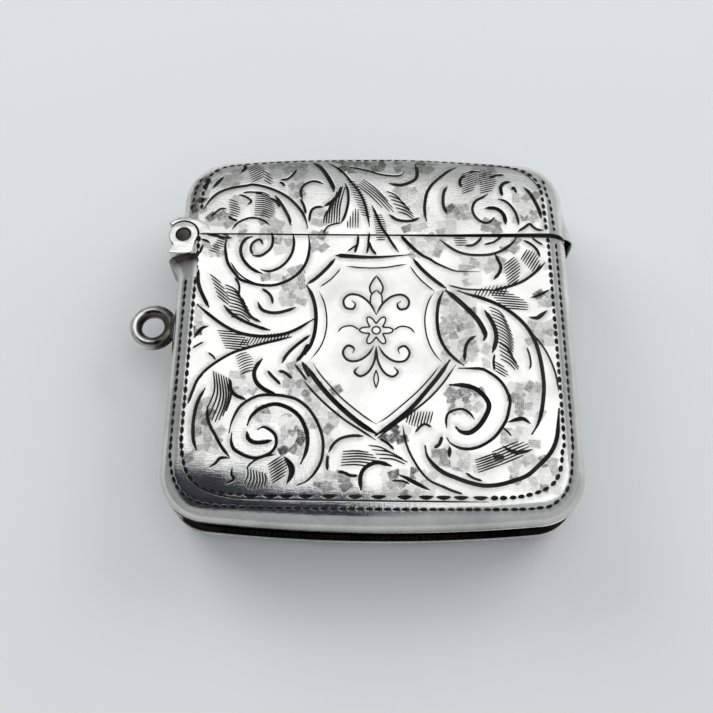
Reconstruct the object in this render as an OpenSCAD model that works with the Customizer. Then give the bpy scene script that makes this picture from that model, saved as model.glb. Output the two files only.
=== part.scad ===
// Vesta case (pocket match safe) in silver, lying on its back.
// +Z points out of the engraved front, +Y towards the lid, +X towards the thumb piece.
// The origin is the middle of the flat back face.

/* [Case] */
// Width of the case over its side walls
case_w = 45.2; // [43:0.1:48]
// Height of the case from the base to the top of the lid
case_h = 45.9; // [44:0.1:48]
// Thickness of the case from back to front
case_t = 9; // [8.6:0.1:10]
// Thickness of the silver sheet
wall = 0.5; // [0.4:0.05:0.6]
// Radius of the corners seen from the front
corner_r = 5.5; // [4.5:0.1:6.5]
// Radius that the front and back edges are rolled to
edge_r = 2.4; // [2.1:0.1:2.6]
// Radius of the gently bowed base and lid top
bow_r = 180; // [120:1:400]

/* [Lid] */
// Height of the body's mouth above the middle of the case
mouth_y = 11.15; // [10:0.05:13]
// Gap between the lid and the body beside the hinge
seam_gap = 0.12; // [0.1:0.01:0.2]
// Extra gap at the thumb side, where the lid stands a little off
seam_flare = 0.34; // [0:0.02:0.5]
// How far the bezel stands out of the mouth
bezel_rise = 1.1; // [0.6:0.1:1.6]
// How far the thumb piece stands out from the side
thumb_reach = 1.15; // [0.8:0.05:1.5]

/* [Hinge] */
// Radius of the hinge pin
pin_r = 0.85; // [0.6:0.05:0.9]
// Radius of the round cheeks that carry the pin
cheek_r = 1.65; // [1.5:0.05:1.75]
// Angle that the lid opens to
lid_open = 90; // [60:1:90]

/* [Base and ring] */
// Length of the striker slot in the base
slot_len = 42.2; // [38:0.2:42.4]
// Width of the striker slot
slot_w = 4; // [3.4:0.1:4.2]
// Depth from the base to the tips of the striker's ribs
striker_depth = 0.75; // [0.5:0.05:1]
// Pitch of the striker's ribs
rib_pitch = 0.62; // [0.5:0.02:0.9]
// Radius of the hole in the chain ring
ring_hole_r = 1.45; // [1.2:0.05:1.8]
// Thickness of the chain ring's wire
ring_wire = 1.35; // [1:0.05:1.5]

/* [Hidden] */
$fn = 128;

silver = "gainsboro";
steel = "dimgray";

half_w = case_w / 2;
half_h = case_h / 2;
mid_z = case_t / 2;
big = 100;

// The outline is four corner arcs, two straight sides and two bowed ends.
corner_x = half_w - corner_r;
bow_turn = asin(corner_x / (bow_r - corner_r));
corner_y = half_h - bow_r + (bow_r - corner_r) * cos(bow_turn);
// The bowed ends run a little way into the corners and stand a hair inside them,
// so that no two curved faces lie on each other.
bow_lap = 0.05; // degrees
bow_step = 0.01;
core_lap = 2;

// Hinge: the pin stands across the thickness, on the line of the mouth at the left side.
hinge_x = -half_w + 0.6;
hinge_y = mouth_y - 0.05;
hinge_end = 0.15; // how far the cheeks stop short of the front and back faces
cheek_t = 1.85;
hood_gap = 0.1;
hood_r = cheek_r + hood_gap + 0.65;
hood_from = 6; // angles about the pin, from +X
hood_to = 140;
bearer_from = hood_to + lid_open + 3;
cam_r = cheek_r - 0.1;
cam_flat = cam_r - 0.3; // distance of the cam's two flats from the pin's axis
cam_gap = 0.1;
pin_clearance = 0.03;
foot_corner = (hood_r + 0.15) * [cos(bearer_from), sin(bearer_from)];
foot_low = -2.6;

// Leaf spring, a strip along the inside of the hinge side, places relative to the pin
leaf_t = 0.28;
leaf_w = 3;
leaf_x = cam_flat + 0.02;
leaf_top = 0.45;
leaf_bend_y = -5;
leaf_foot_y = -8.5;
leaf_end_y = -14;
wall_face_x = wall - 0.6;
rivet_r = 0.45;
rivet_head_r = 0.8;
rivet_head_t = 0.3;
rivet_ys = [-10.2, -12.6];

// Chain ring, flat with the case and centred in its thickness
ring_y = 1.2;
ring_land = 0.06; // depth of the flat that a chain's link wears inside the ring
ring_mean_r = ring_hole_r - ring_land + ring_wire / 2;
ring_x = -half_w - ring_mean_r - ring_wire / 2 - 0.1;
ring_foot_w = 2.6;

// ---- shapes that repeat ----

// Section through a side wall, from its inner edge to its reach, rolled at both outer edges
module edge_profile(reach, inset) {
    r = edge_r - inset;
    low = inset;
    high = case_t - inset;
    translate([0, low]) square([reach - r, high - low]);
    translate([0, low + r]) square([reach, high - low - 2 * r]);
    for (z = [low + r, high - r])
        translate([reach - r, z]) circle(r);
}

// The case as a solid block, shrunk by inset on every side
module case_solid(inset) {
    reach = corner_r - inset;
    for (side = [0, 1]) mirror([side, 0, 0]) {
        translate([corner_x, corner_y, 0]) rotate([90, 0, 0])
            linear_extrude(2 * corner_y) edge_profile(reach, inset);
        for (end = [0, 1]) mirror([0, end, 0])
            translate([corner_x, corner_y, 0])
                rotate_extrude(angle = 90 - bow_turn) edge_profile(reach, inset);
    }
    for (end = [0, 1]) mirror([0, end, 0])
        translate([0, half_h - bow_r, 0])
            rotate_extrude(angle = 2 * (bow_turn + bow_lap), start = 90 - bow_turn - bow_lap)
                translate([bow_r - corner_r - core_lap, 0])
                    edge_profile(reach + core_lap - bow_step, inset);
    translate([-corner_x - core_lap / 4, -corner_y - core_lap / 4, inset])
        cube([2 * corner_x + core_lap / 2, 2 * corner_y + core_lap / 2, case_t - 2 * inset]);
}

// The hollow skin of the whole case, before the lid is cut off
module case_skin() {
    difference() {
        case_solid(0);
        case_solid(wall);
    }
}

// The case is the same front and back, so each front shell is a back shell turned over.
module to_front() {
    translate([0, 0, case_t]) mirror([0, 0, 1]) children();
}

module back_half() {
    translate([-big / 2, -big / 2, mid_z - big]) cube([big, big, big]);
}

module body_side() {
    translate([-big / 2, mouth_y - big, -1]) cube([big, big, case_t + 2]);
}

// The lid's lower edge is straight, then lifts towards the thumb side.
module lid_side() {
    low = mouth_y + seam_gap;
    translate([0, 0, -1]) linear_extrude(case_t + 2)
        polygon([
            [-big / 2, low], [4, low], [14, low + seam_flare * 0.3],
            [half_w + 2, low + seam_flare], [big / 2, low + seam_flare],
            [big / 2, big], [-big / 2, big]
        ]);
}

module at_hinge() {
    translate([hinge_x, hinge_y, 0]) children();
}

// A disc's sector about the pin, as a flat outline
module sector(r, from, to) {
    steps = 8;
    reach = r * 1.3;
    intersection() {
        circle(r);
        polygon(concat([[0, 0]], [
            for (i = [0 : steps])
                let (a = from + (to - from) * i / steps)
                reach * [cos(a), sin(a)]
        ]));
    }
}

// Outline of a cheek: a round head on a square foot that is let into the case
module cheek_outline() {
    circle(cheek_r);
    cheek_foot();
}

module cheek_foot() {
    polygon([[0, 0], foot_corner, [foot_corner[0], foot_low], [1.4, foot_low], [1.6, -0.4]]);
}

// ---- body ----

// The notch that the cheeks are let into, and the slot for the striker
module body_cuts() {
    at_hinge() translate([0, 0, -1]) linear_extrude(case_t + 2) cheek_outline();
    translate([0, -corner_y, mid_z]) rotate([90, 0, 0])
        linear_extrude(big) striker_slot();
    for (y = rivet_ys)
        translate([-half_w - 1, hinge_y + y, mid_z]) rotate([0, 90, 0])
            cylinder(h = 3, r = rivet_r);
}

module striker_slot() {
    straight = slot_len - slot_w;
    square([straight, slot_w], center = true);
    for (side = [-1, 1])
        translate([side * straight / 2, 0]) circle(slot_w / 2);
}

module body_shell() {
    difference() {
        intersection() {
            case_skin();
            body_side();
        }
        body_cuts();
    }
}

module body_back_shell() {
    color(silver) intersection() {
        body_shell();
        back_half();
    }
}

module body_front_shell() {
    to_front() body_back_shell();
}

// Ribbed strip behind the slot: it follows the bowed base and turns up inside both corners,
// and is wedged between the rolled front and back edges
module striker_plate() {
    rib_h = 0.3;
    plate_t = 0.7;
    depth = striker_depth;
    bow_c = half_h - bow_r;
    reach = corner_x - 0.6;
    count = floor(2 * reach / rib_pitch);
    start = -count * rib_pitch / 2;
    level = function (x, d) -bow_c - sqrt((bow_r - d) * (bow_r - d) - x * x);
    turned = function (a, d, side)
        [side * (corner_x + (corner_r - d) * cos(a)), -corner_y - (corner_r - d) * sin(a)];
    low_angle = 14; // where the strip's turned-up ends stop
    steps = 6;
    roll = edge_r - wall;
    sunk = depth - wall;
    strip_low = wall + roll - sqrt(roll * roll - (roll - sunk) * (roll - sunk)) + 0.02;
    arc = [for (i = [0 : steps]) low_angle + (90 - bow_turn - low_angle) * i / steps];
    back = [for (i = [steps : -1 : 0]) arc[i]];
    color(silver) translate([0, 0, strip_low]) linear_extrude(case_t - 2 * strip_low)
        polygon(concat(
            [for (a = arc) turned(a, depth, -1)],
            [for (i = [0 : count - 1]) each
                let (x = start + i * rib_pitch)
                [[x, level(x, depth + rib_h)], [x + rib_pitch / 2, level(x, depth)]]],
            [for (a = back) turned(a, depth, 1)],
            [for (a = arc) turned(a, depth + plate_t, 1)],
            [for (i = [3 : -1 : -3]) let (x = reach * i / 4) [x, level(x, depth + plate_t)]],
            [for (a = back) turned(a, depth + plate_t, -1)]
        ));
}

// Thin collar inside the mouth that the lid closes over; it is open on the hinge side
module mouth_bezel() {
    bezel_t = 0.35;
    depth = 2.4;
    left = hinge_x + 3.2;
    fit = 0.01;
    module collar(inset) {
        r = edge_r - inset;
        translate([0, inset + r]) square([half_w - inset, case_t - 2 * (inset + r)]);
        translate([0, inset]) square([half_w - inset - r, case_t - 2 * inset]);
        for (z = [inset + r, case_t - inset - r])
            translate([half_w - inset - r, z]) circle(r);
    }
    outer = wall + fit;
    slope = 0.2; // the rise stands this far in, so that the lid swings clear of it
    color(silver) {
        translate([0, mouth_y, 0]) rotate([90, 0, 0]) linear_extrude(depth)
            difference() {
                union() {
                    collar(outer);
                    translate([left, outer]) square([-left + 1, case_t - 2 * outer]);
                }
                collar(outer + bezel_t);
                translate([left - 1, outer + bezel_t])
                    square([-left + 2, case_t - 2 * (outer + bezel_t)]);
            }
        translate([0, mouth_y + bezel_rise, 0]) rotate([90, 0, 0]) linear_extrude(bezel_rise)
            difference() {
                union() {
                    collar(outer + slope);
                    translate([left, outer + slope])
                        square([-left + 1, case_t - 2 * (outer + slope)]);
                }
                collar(outer + bezel_t);
                translate([left - 1, outer + bezel_t])
                    square([-left + 2, case_t - 2 * (outer + bezel_t)]);
            }
    }
}

// Flared seat on the side wall that carries the cheeks and hides the leaf spring
module hinge_bearer() {
    low = hinge_end + cheek_t;
    flare_low = 1.2;
    lip = foot_corner[0];
    color(silver) {
        at_hinge() translate([0, 0, low]) linear_extrude(case_t - 2 * low)
            difference() {
                intersection() {
                    cheek_foot();
                    translate([-5, -5]) square([5 + wall_face_x, 5]);
                }
                circle(cheek_r);
            }
        difference() {
            at_hinge() translate([0, 0, flare_low]) linear_extrude(case_t - 2 * flare_low)
                polygon([
                    [lip + 0.05, foot_low], [lip + 0.3, foot_low - 0.5], [lip + 0.56, foot_low - 1.2],
                    [lip + 0.8, foot_low - 2.2], [-0.6, foot_low - 3], [1, foot_low - 3], [1, foot_low]
                ]);
            case_solid(0);
        }
    }
}

module hinge_cheek(low) {
    color(silver) at_hinge() translate([0, 0, low]) linear_extrude(cheek_t)
        difference() {
            cheek_outline();
            circle(pin_r + 0.01);
        }
}

module hinge_cheek_front() {
    hinge_cheek(case_t - hinge_end - cheek_t);
}

module hinge_cheek_back() {
    hinge_cheek(hinge_end);
}

module hinge_pin() {
    color(steel) at_hinge() translate([0, 0, hinge_end])
        cylinder(h = case_t - 2 * hinge_end, r = pin_r);
}

// Steel strip riveted low on the side wall; its free end bears on the cam's flat
module leaf_spring() {
    path = [
        [leaf_x, leaf_top], [leaf_x, leaf_bend_y],
        [wall_face_x + 0.02, leaf_foot_y], [wall_face_x + 0.02, leaf_end_y]
    ];
    side = [for (p = path) p + [leaf_t, 0]];
    color(steel) difference() {
        at_hinge() translate([0, 0, mid_z - leaf_w / 2]) linear_extrude(leaf_w)
            polygon(concat(path, [for (i = [len(side) - 1 : -1 : 0]) side[i]]));
        for (y = rivet_ys)
            translate([-half_w, hinge_y + y, mid_z]) rotate([0, 90, 0])
                cylinder(h = 3, r = rivet_r + 0.01);
    }
}

// Two rivets, filed flush outside, with a low head on the spring
module spring_rivets() {
    face = hinge_x + wall_face_x + 0.02 + leaf_t;
    color(steel) for (y = rivet_ys)
        translate([0, hinge_y + y, mid_z]) rotate([0, 90, 0]) {
            translate([0, 0, -half_w + 0.01])
                cylinder(h = half_w - 0.01 + face, r = rivet_r - 0.01);
            translate([0, 0, face]) cylinder(h = rivet_head_t, r = rivet_head_r);
        }
}

// Round wire ring with a short flat land inside, in the plane of the case
module chain_ring() {
    color(silver) translate([ring_x, ring_y, mid_z]) rotate_extrude()
        difference() {
            translate([ring_mean_r, 0]) circle(ring_wire / 2);
            translate([0, -ring_wire]) square([ring_hole_r, 2 * ring_wire]);
        }
}

// Solder foot that joins the ring to the side wall
module ring_foot() {
    foot_h = 1.7;
    color(silver) difference() {
        translate([-half_w - 0.75, ring_y - ring_foot_w / 2, mid_z - foot_h / 2])
            cube([0.75, ring_foot_w, foot_h]);
        translate([ring_x, ring_y, mid_z - foot_h])
            cylinder(h = 2 * foot_h, r = ring_mean_r + ring_wire / 2 + 0.01);
    }
}

// ---- lid ----

module lid_shell() {
    difference() {
        intersection() {
            case_skin();
            lid_side();
        }
        at_hinge() translate([0, 0, -1]) cylinder(h = case_t + 2, r = hood_r);
    }
}

module lid_back_shell() {
    color(silver) intersection() {
        lid_shell();
        back_half();
    }
}

module lid_front_shell() {
    to_front() lid_back_shell();
}

// Rolled cover on the lid that turns round the cheeks
module hinge_hood() {
    low = hinge_end - 0.1;
    color(silver) at_hinge() translate([0, 0, low]) linear_extrude(case_t - 2 * low)
        difference() {
            sector(hood_r, hood_from, hood_to);
            circle(cheek_r + hood_gap);
        }
}

// The lid's knuckle: it fills the space between the cheeks, and its two flats hold
// the lid shut and open against the leaf spring
module hinge_cam() {
    low = hinge_end + cheek_t + cam_gap;
    web_from = 60;
    color(silver) at_hinge() translate([0, 0, low]) linear_extrude(case_t - 2 * low)
        difference() {
            union() {
                intersection() {
                    circle(cam_r);
                    translate([-2 * cam_r, -cam_flat])
                        square([2 * cam_r + cam_flat, 4 * cam_r]);
                }
                sector(cheek_r + hood_gap, web_from, hood_to);
            }
            circle(pin_r + pin_clearance);
        }
}

// Flared lip on the lid's free side, where a thumb pushes it open
module thumb_piece() {
    lip_w = 5.4;
    lip_low = mouth_y + seam_gap + seam_flare + 0.02;
    lip_h = 5.2;
    outer = half_w + thumb_reach;
    color(silver) difference() {
        translate([0, 0, mid_z - lip_w / 2]) linear_extrude(lip_w)
            polygon([
                [half_w - 0.3, lip_low], [outer, lip_low], [outer, lip_low + 0.45],
                [outer - 0.35, lip_low + 1.3], [outer - 0.75, lip_low + 2.6],
                [half_w + 0.12, lip_low + 4.2], [half_w - 0.3, lip_low + lip_h]
            ]);
        case_solid(0);
    }
}

body_front_shell();
body_back_shell();
striker_plate();
mouth_bezel();
hinge_bearer();
hinge_cheek_front();
hinge_cheek_back();
hinge_pin();
leaf_spring();
spring_rivets();
chain_ring();
ring_foot();
lid_front_shell();
lid_back_shell();
hinge_hood();
hinge_cam();
thumb_piece();
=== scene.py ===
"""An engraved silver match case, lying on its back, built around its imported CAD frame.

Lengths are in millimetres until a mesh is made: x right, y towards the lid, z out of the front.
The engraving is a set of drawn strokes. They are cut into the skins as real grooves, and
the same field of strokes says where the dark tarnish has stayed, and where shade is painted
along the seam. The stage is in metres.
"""

import math

import bmesh
import bpy
import numpy as np
from mathutils import Matrix, Vector


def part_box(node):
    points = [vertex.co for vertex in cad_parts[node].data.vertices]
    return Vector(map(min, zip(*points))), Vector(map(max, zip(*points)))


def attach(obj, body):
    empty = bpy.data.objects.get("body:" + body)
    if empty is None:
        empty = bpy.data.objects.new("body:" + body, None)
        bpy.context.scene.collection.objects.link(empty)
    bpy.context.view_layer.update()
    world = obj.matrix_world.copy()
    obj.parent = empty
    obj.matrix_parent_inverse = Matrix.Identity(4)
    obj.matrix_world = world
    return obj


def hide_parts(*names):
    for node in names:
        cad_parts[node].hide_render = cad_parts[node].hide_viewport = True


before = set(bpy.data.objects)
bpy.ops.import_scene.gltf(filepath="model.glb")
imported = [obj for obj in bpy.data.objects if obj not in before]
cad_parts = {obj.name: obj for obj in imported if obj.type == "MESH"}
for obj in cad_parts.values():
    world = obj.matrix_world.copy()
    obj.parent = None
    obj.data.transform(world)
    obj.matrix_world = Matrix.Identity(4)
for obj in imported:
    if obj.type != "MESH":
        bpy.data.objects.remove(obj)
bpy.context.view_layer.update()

MM = 0.001


def box_mm(node):
    low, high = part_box(node)
    return np.array(low) / MM, np.array(high) / MM


# ---- sizes, from the frame ----

body_low, body_high = box_mm("body_front_shell")
lid_low, lid_high = box_mm("lid_front_shell")
pin_low, pin_high = box_mm("hinge_pin")
ring_low, ring_high = box_mm("chain_ring")
lip_low, lip_high = box_mm("thumb_piece")

HALF_W = body_high[0]
HALF_H = lid_high[1]
TOP = body_high[2]
MID = body_low[2]
MOUTH = body_high[1]
SEAM = lid_low[1]
PIN = (pin_low + pin_high) / 2
PIN_R = (pin_high[0] - pin_low[0]) / 2

# ---- sizes that the frame doesn't give ----

CORNER_R = 5.5  # the outline's corners
EDGE_R = 2.4  # the roll from the face into the side
BOW_R = 180.0  # the bowed ends
SHEET = 0.6  # from the skins' outside to their plain inside
CHEEK_R = 1.65
HOOD_IN = CHEEK_R + 0.1
HOOD_OUT = HOOD_IN + 0.65
SLOT_HALF_LEN = 21.6  # the striker's slot in the base
SLOT_HALF_W = 2.0
SLOT_END = 1.5
SEAM_FLARE = 0.34  # how far the lid's edge lifts at its right end

# Where the corners' arcs meet the bowed ends.
CORNER_X = HALF_W - CORNER_R
BOW_TURN = math.asin(CORNER_X / (BOW_R - CORNER_R))
CORNER_Y = HALF_H - BOW_R + (BOW_R - CORNER_R) * math.cos(BOW_TURN)

FRONT_STEP = 0.08  # spacing of the skins' vertices
BACK_STEP = 0.14
INSIDE_STEP = 0.7
ROLL_LENGTH = 3.2  # the roll has as many rows as this has steps
RASTER = 0.04  # spacing of the field that the strokes are drawn in

BOLD = 1.08  # how much wider than drawn the strokes are cut
STROKE_DEPTH = 0.0525  # of a cut whose half-width is FULL_HALF
DASH_DEPTH = 0.063
HATCH_DEPTH = 0.042
FULL_HALF = 0.15
INK_RAMP = 0.2  # distance over which the ink goes from none to full; the material cuts it at half
HATCH_PITCH = 0.29  # the least space between the lines of a row
# HALO and HALO_TONE set the painted shade laid beside a cut.
HALO = 0.6  # how far the shading beside a cut reaches
HALO_TONE = 0.42
WALL_PAINTED_SHADE = 0.42  # how dark the painted shade on the side walls gets

PILLOW = 0.04  # how far the face bulges in its middle
LOW = 0.065  # how far its edges lie below the CAD's, which leaves room for the bulge
WAVE = 0.012  # how uneven the sheet is
WEAR = 0.012  # how far the dull ground is worn away


# ---- the field of strokes ----


class Field:
    """How deep the graver went, how dark the cut is and how dull the ground is, over the face.
    The dark also holds painted shadow along the seam, and the dull holds painted shade beside the cuts.
    """

    def __init__(self):
        self.low = np.array([-HALF_W - 1, -HALF_H - 1])
        count = np.ceil(-2 * self.low / RASTER).astype(int) + 1
        self.depth = np.zeros(count)
        self.tarnish_and_painted_shade = np.zeros(count)
        self.shade = np.zeros(count)

    def window(self, low, high):
        """The part of the field between two corners, with its x and y, or None off the face."""
        a = np.maximum(((low - self.low) / RASTER).astype(int), 0)
        b = np.minimum(((high - self.low) / RASTER).astype(int) + 2, self.depth.shape)
        if (b <= a).any():
            return None
        x = self.low[0] + RASTER * np.arange(a[0], b[0])
        y = self.low[1] + RASTER * np.arange(a[1], b[1])
        return (slice(a[0], b[0]), slice(a[1], b[1])), x[:, None], y[None, :]

    def segment(self, p, q, half_p, half_q, depth):
        """One short V cut from p to q, whose half-width runs from half_p to half_q. Beside its
        right side a soft painted shade is laid, standing in for the shading of a bright-cut facet."""
        reach = max(half_p, half_q) + HALO
        found = self.window(np.minimum(p, q) - reach, np.maximum(p, q) + reach)
        if found is None:
            return
        where, x, y = found
        run = q - p
        t = np.clip(((x - p[0]) * run[0] + (y - p[1]) * run[1]) / max(float(run @ run), 1e-9), 0, 1)
        off = np.hypot(x - p[0] - t * run[0], y - p[1] - t * run[1])
        half = half_p + (half_q - half_p) * t
        inside = np.clip(1 - off / np.maximum(half, 1e-3), 0, 1)
        tarnish_and_painted_shade = np.clip((half - off) / INK_RAMP + 0.5, 0, 1)
        # A soft painted shade beside the cut's right side.
        right = (x - p[0]) * run[1] - (y - p[1]) * run[0] > 0
        tone = HALO_TONE * min((half_p + half_q) / (2 * FULL_HALF), 1)
        painted_halo = tone * right * np.clip(1 - (off - half) / HALO, 0, 1)
        self.depth[where] = np.maximum(self.depth[where], depth * inside * half / FULL_HALF)
        self.tarnish_and_painted_shade[where] = np.maximum(self.tarnish_and_painted_shade[where], tarnish_and_painted_shade)
        self.shade[where] = np.maximum(self.shade[where], painted_halo)

    def patch(self, x0, y0, length, width, angle, dark):
        """One dull patch of the ground, a soft-edged rectangle of fine, slightly wavy lines."""
        edge, line_pitch, line_depth = 0.14, 0.21, 0.26
        turn = math.radians(angle)
        centre = np.array([x0, y0])
        reach = 0.6 * (length + width)
        found = self.window(centre - reach, centre + reach)
        if found is None:
            return
        where, x, y = found
        u = (x - x0) * math.cos(turn) + (y - y0) * math.sin(turn)
        v = -(x - x0) * math.sin(turn) + (y - y0) * math.cos(turn)
        soft = np.clip((length / 2 - abs(u)) / edge, 0, 1) * np.clip((width / 2 - abs(v)) / edge, 0, 1)
        wave = 2.5 * np.sin(u * 1.3 + x0)
        lines = 1 - line_depth + line_depth * np.sin(2 * math.pi * v / line_pitch + wave)
        tone = dark * soft * lines
        self.shade[where] = np.where(soft > 0.5, tone, np.maximum(self.shade[where], tone))

    def sample(self, layer, x, y):
        """The layer's values at scattered points, blended between the raster's own."""
        gx = np.clip((x - self.low[0]) / RASTER, 0, layer.shape[0] - 1.001)
        gy = np.clip((y - self.low[1]) / RASTER, 0, layer.shape[1] - 1.001)
        i, j = gx.astype(int), gy.astype(int)
        a, b = gx - i, gy - j
        return (
            layer[i, j] * (1 - a) * (1 - b) + layer[i + 1, j] * a * (1 - b)
            + layer[i, j + 1] * (1 - a) * b + layer[i + 1, j + 1] * a * b
        )


def distances(line):
    """How far along the line each of its points is."""
    return np.concatenate([[0], np.cumsum(np.linalg.norm(np.diff(line, axis=0), axis=1))])


def smooth_line(points, spacing=0.12):
    """A Catmull-Rom curve through the points, at an even spacing."""
    points = np.array(points, float)
    if len(points) == 2:
        count = max(2, int(np.hypot(*(points[1] - points[0])) / spacing) + 1)
        return points[0] + (points[1] - points[0]) * np.linspace(0, 1, count)[:, None]
    ends = np.vstack([2 * points[0] - points[1], points, 2 * points[-1] - points[-2]])
    out = []
    for a, b, c, d in zip(ends, ends[1:], ends[2:], ends[3:]):
        count = max(2, int(np.hypot(*(c - b)) / spacing) + 1)
        t = np.linspace(0, 1, count, endpoint=False)[:, None]
        out.append(0.5 * (2 * b + (c - a) * t + (2 * a - 5 * b + 4 * c - d) * t**2
                          + (3 * b - a - 3 * c + d) * t**3))
    return np.vstack(out + [points[-1:]])


def swell(kind, t):
    """A stroke's width at t, from 0 at its start to 1 at its end: a bright cut swells in its middle."""
    if kind == "wedge":
        return np.sin(math.pi * np.clip(t, 0.02, 0.98)) ** 0.8
    if kind == "head":
        return np.clip(1.15 - t, 0.05, 1) * np.clip(t / 0.06, 0.3, 1)
    if kind == "thin":
        return 0.75 + 0.35 * np.sin(math.pi * t)
    if kind == "even":
        return np.ones_like(t)
    if kind == "grow":
        return 0.3 + 0.7 * t
    return np.clip(np.minimum(t, 1 - t) / 0.12, 0.25, 1) ** 0.6


def draw(field, width, points, kind="line", depth=STROKE_DEPTH):
    line = smooth_line(points)
    far = distances(line)
    half = 0.5 * BOLD * width * swell(kind, far / far[-1])
    for k in range(len(line) - 1):
        field.segment(line[k], line[k + 1], half[k], half[k + 1], depth)


def engrave(field, strokes):
    for stroke in strokes:
        draw(field, *stroke)


def hatch(field, start, end, count, stroke, width, fan=(0, 0), bend=0.0):
    """A row of fine lines. They start on a line from start to end, and each runs along stroke,
    which turns towards stroke + fan by the last one. The middle ones are the longest."""
    start, end, stroke, fan = (np.array(pair, float) for pair in (start, end, stroke, fan))
    row = end - start
    across = abs(row[0] * stroke[1] - row[1] * stroke[0]) / math.hypot(*stroke)
    count = max(3, min(count, round(across / HATCH_PITCH) + 1))
    for t in np.linspace(0, 1, count):
        p = start * (1 - t) + end * t
        run = 1.3 * (stroke + fan * t) * (0.75 + 0.25 * math.sin(math.pi * t))
        side = np.array([-run[1], run[0]]) * bend
        draw(field, width, [p, p + run / 2 + side, p + run], "thin", HATCH_DEPTH)


# ---- the front's design: strokes as (width, points) or (width, points, kind) ----

SHIELD = [
    (.16, [(-3.1, 7.1), (-1.5, 6.95), (0, 6.9), (1.5, 7), (2.8, 7.25), (3.9, 7.45)]),
    (.16, [(4.2, 7.2), (4.8, 6.2), (5.6, 5.2), (6.9, 4)]),
    (.16, [(6.9, 3.9), (6.3, 2.9), (5.9, 1.6), (5.75, .2), (5.9, -1.4), (6.3, -2.8), (6.9, -3.9),
           (7.5, -4.6)]),
    (.16, [(-3.7, 6.8), (-4.2, 6.1), (-4.9, 5.3), (-6, 4.4)]),
    (.16, [(-6.05, 3.8), (-5.5, 2.5), (-5.2, 1), (-5.15, -.5), (-5.4, -2), (-5.9, -3.2), (-6.8, -4.5)]),
    (.16, [(-6.5, -5), (-5.8, -6.1), (-5, -7.1), (-3.5, -8.8), (-1.8, -10.3), (-.5, -11.3), (.4, -11.85)]),
    (.16, [(7.3, -5), (6.2, -6.5), (4.8, -8.1), (3, -9.8), (1.5, -11.1), (.4, -11.8)]),
    (.5, [(-4.3, 8.5), (0, 8.3), (4.6, 8.7)], "head"),
    (.38, [(-4.4, 8), (-5.3, 6.8), (-6.4, 5.6), (-7.4, 4.8)]),
    (.4, [(-7.5, 4.6), (-6.9, 3.4), (-6.5, 2), (-6.35, .5), (-6.45, -1.2), (-6.8, -2.6), (-7.4, -3.9)]),
    (.4, [(4.6, 8.1), (5.3, 7.1), (6.2, 6.1), (7.3, 5.1), (8.2, 4.4)]),
    (.35, [(7.9, 4), (7.4, 2.8), (7.15, 1.2), (7.15, -.4), (7.4, -1.8), (8, -3.1), (8.9, -4.2), (9.9, -5)]),
    (.5, [(-7.3, -5.2), (-6, -7.1), (-4.6, -8.8), (-3, -10.4), (-1.2, -11.9), (.5, -13)]),
    (.22, [(-7.5, -7), (-6.3, -8.4), (-4.8, -9.9), (-3, -11.4), (-1.2, -12.6), (.3, -13.6)]),
    (.45, [(8.4, -4.4), (7.2, -6.2), (5.8, -8), (4.2, -9.9), (2.2, -11.7), (.3, -13.1)]),
    (.22, [(9, -5), (7.5, -7.2), (5.9, -9), (4, -10.6), (2.2, -12), (.5, -13.4)]),
]

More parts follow.
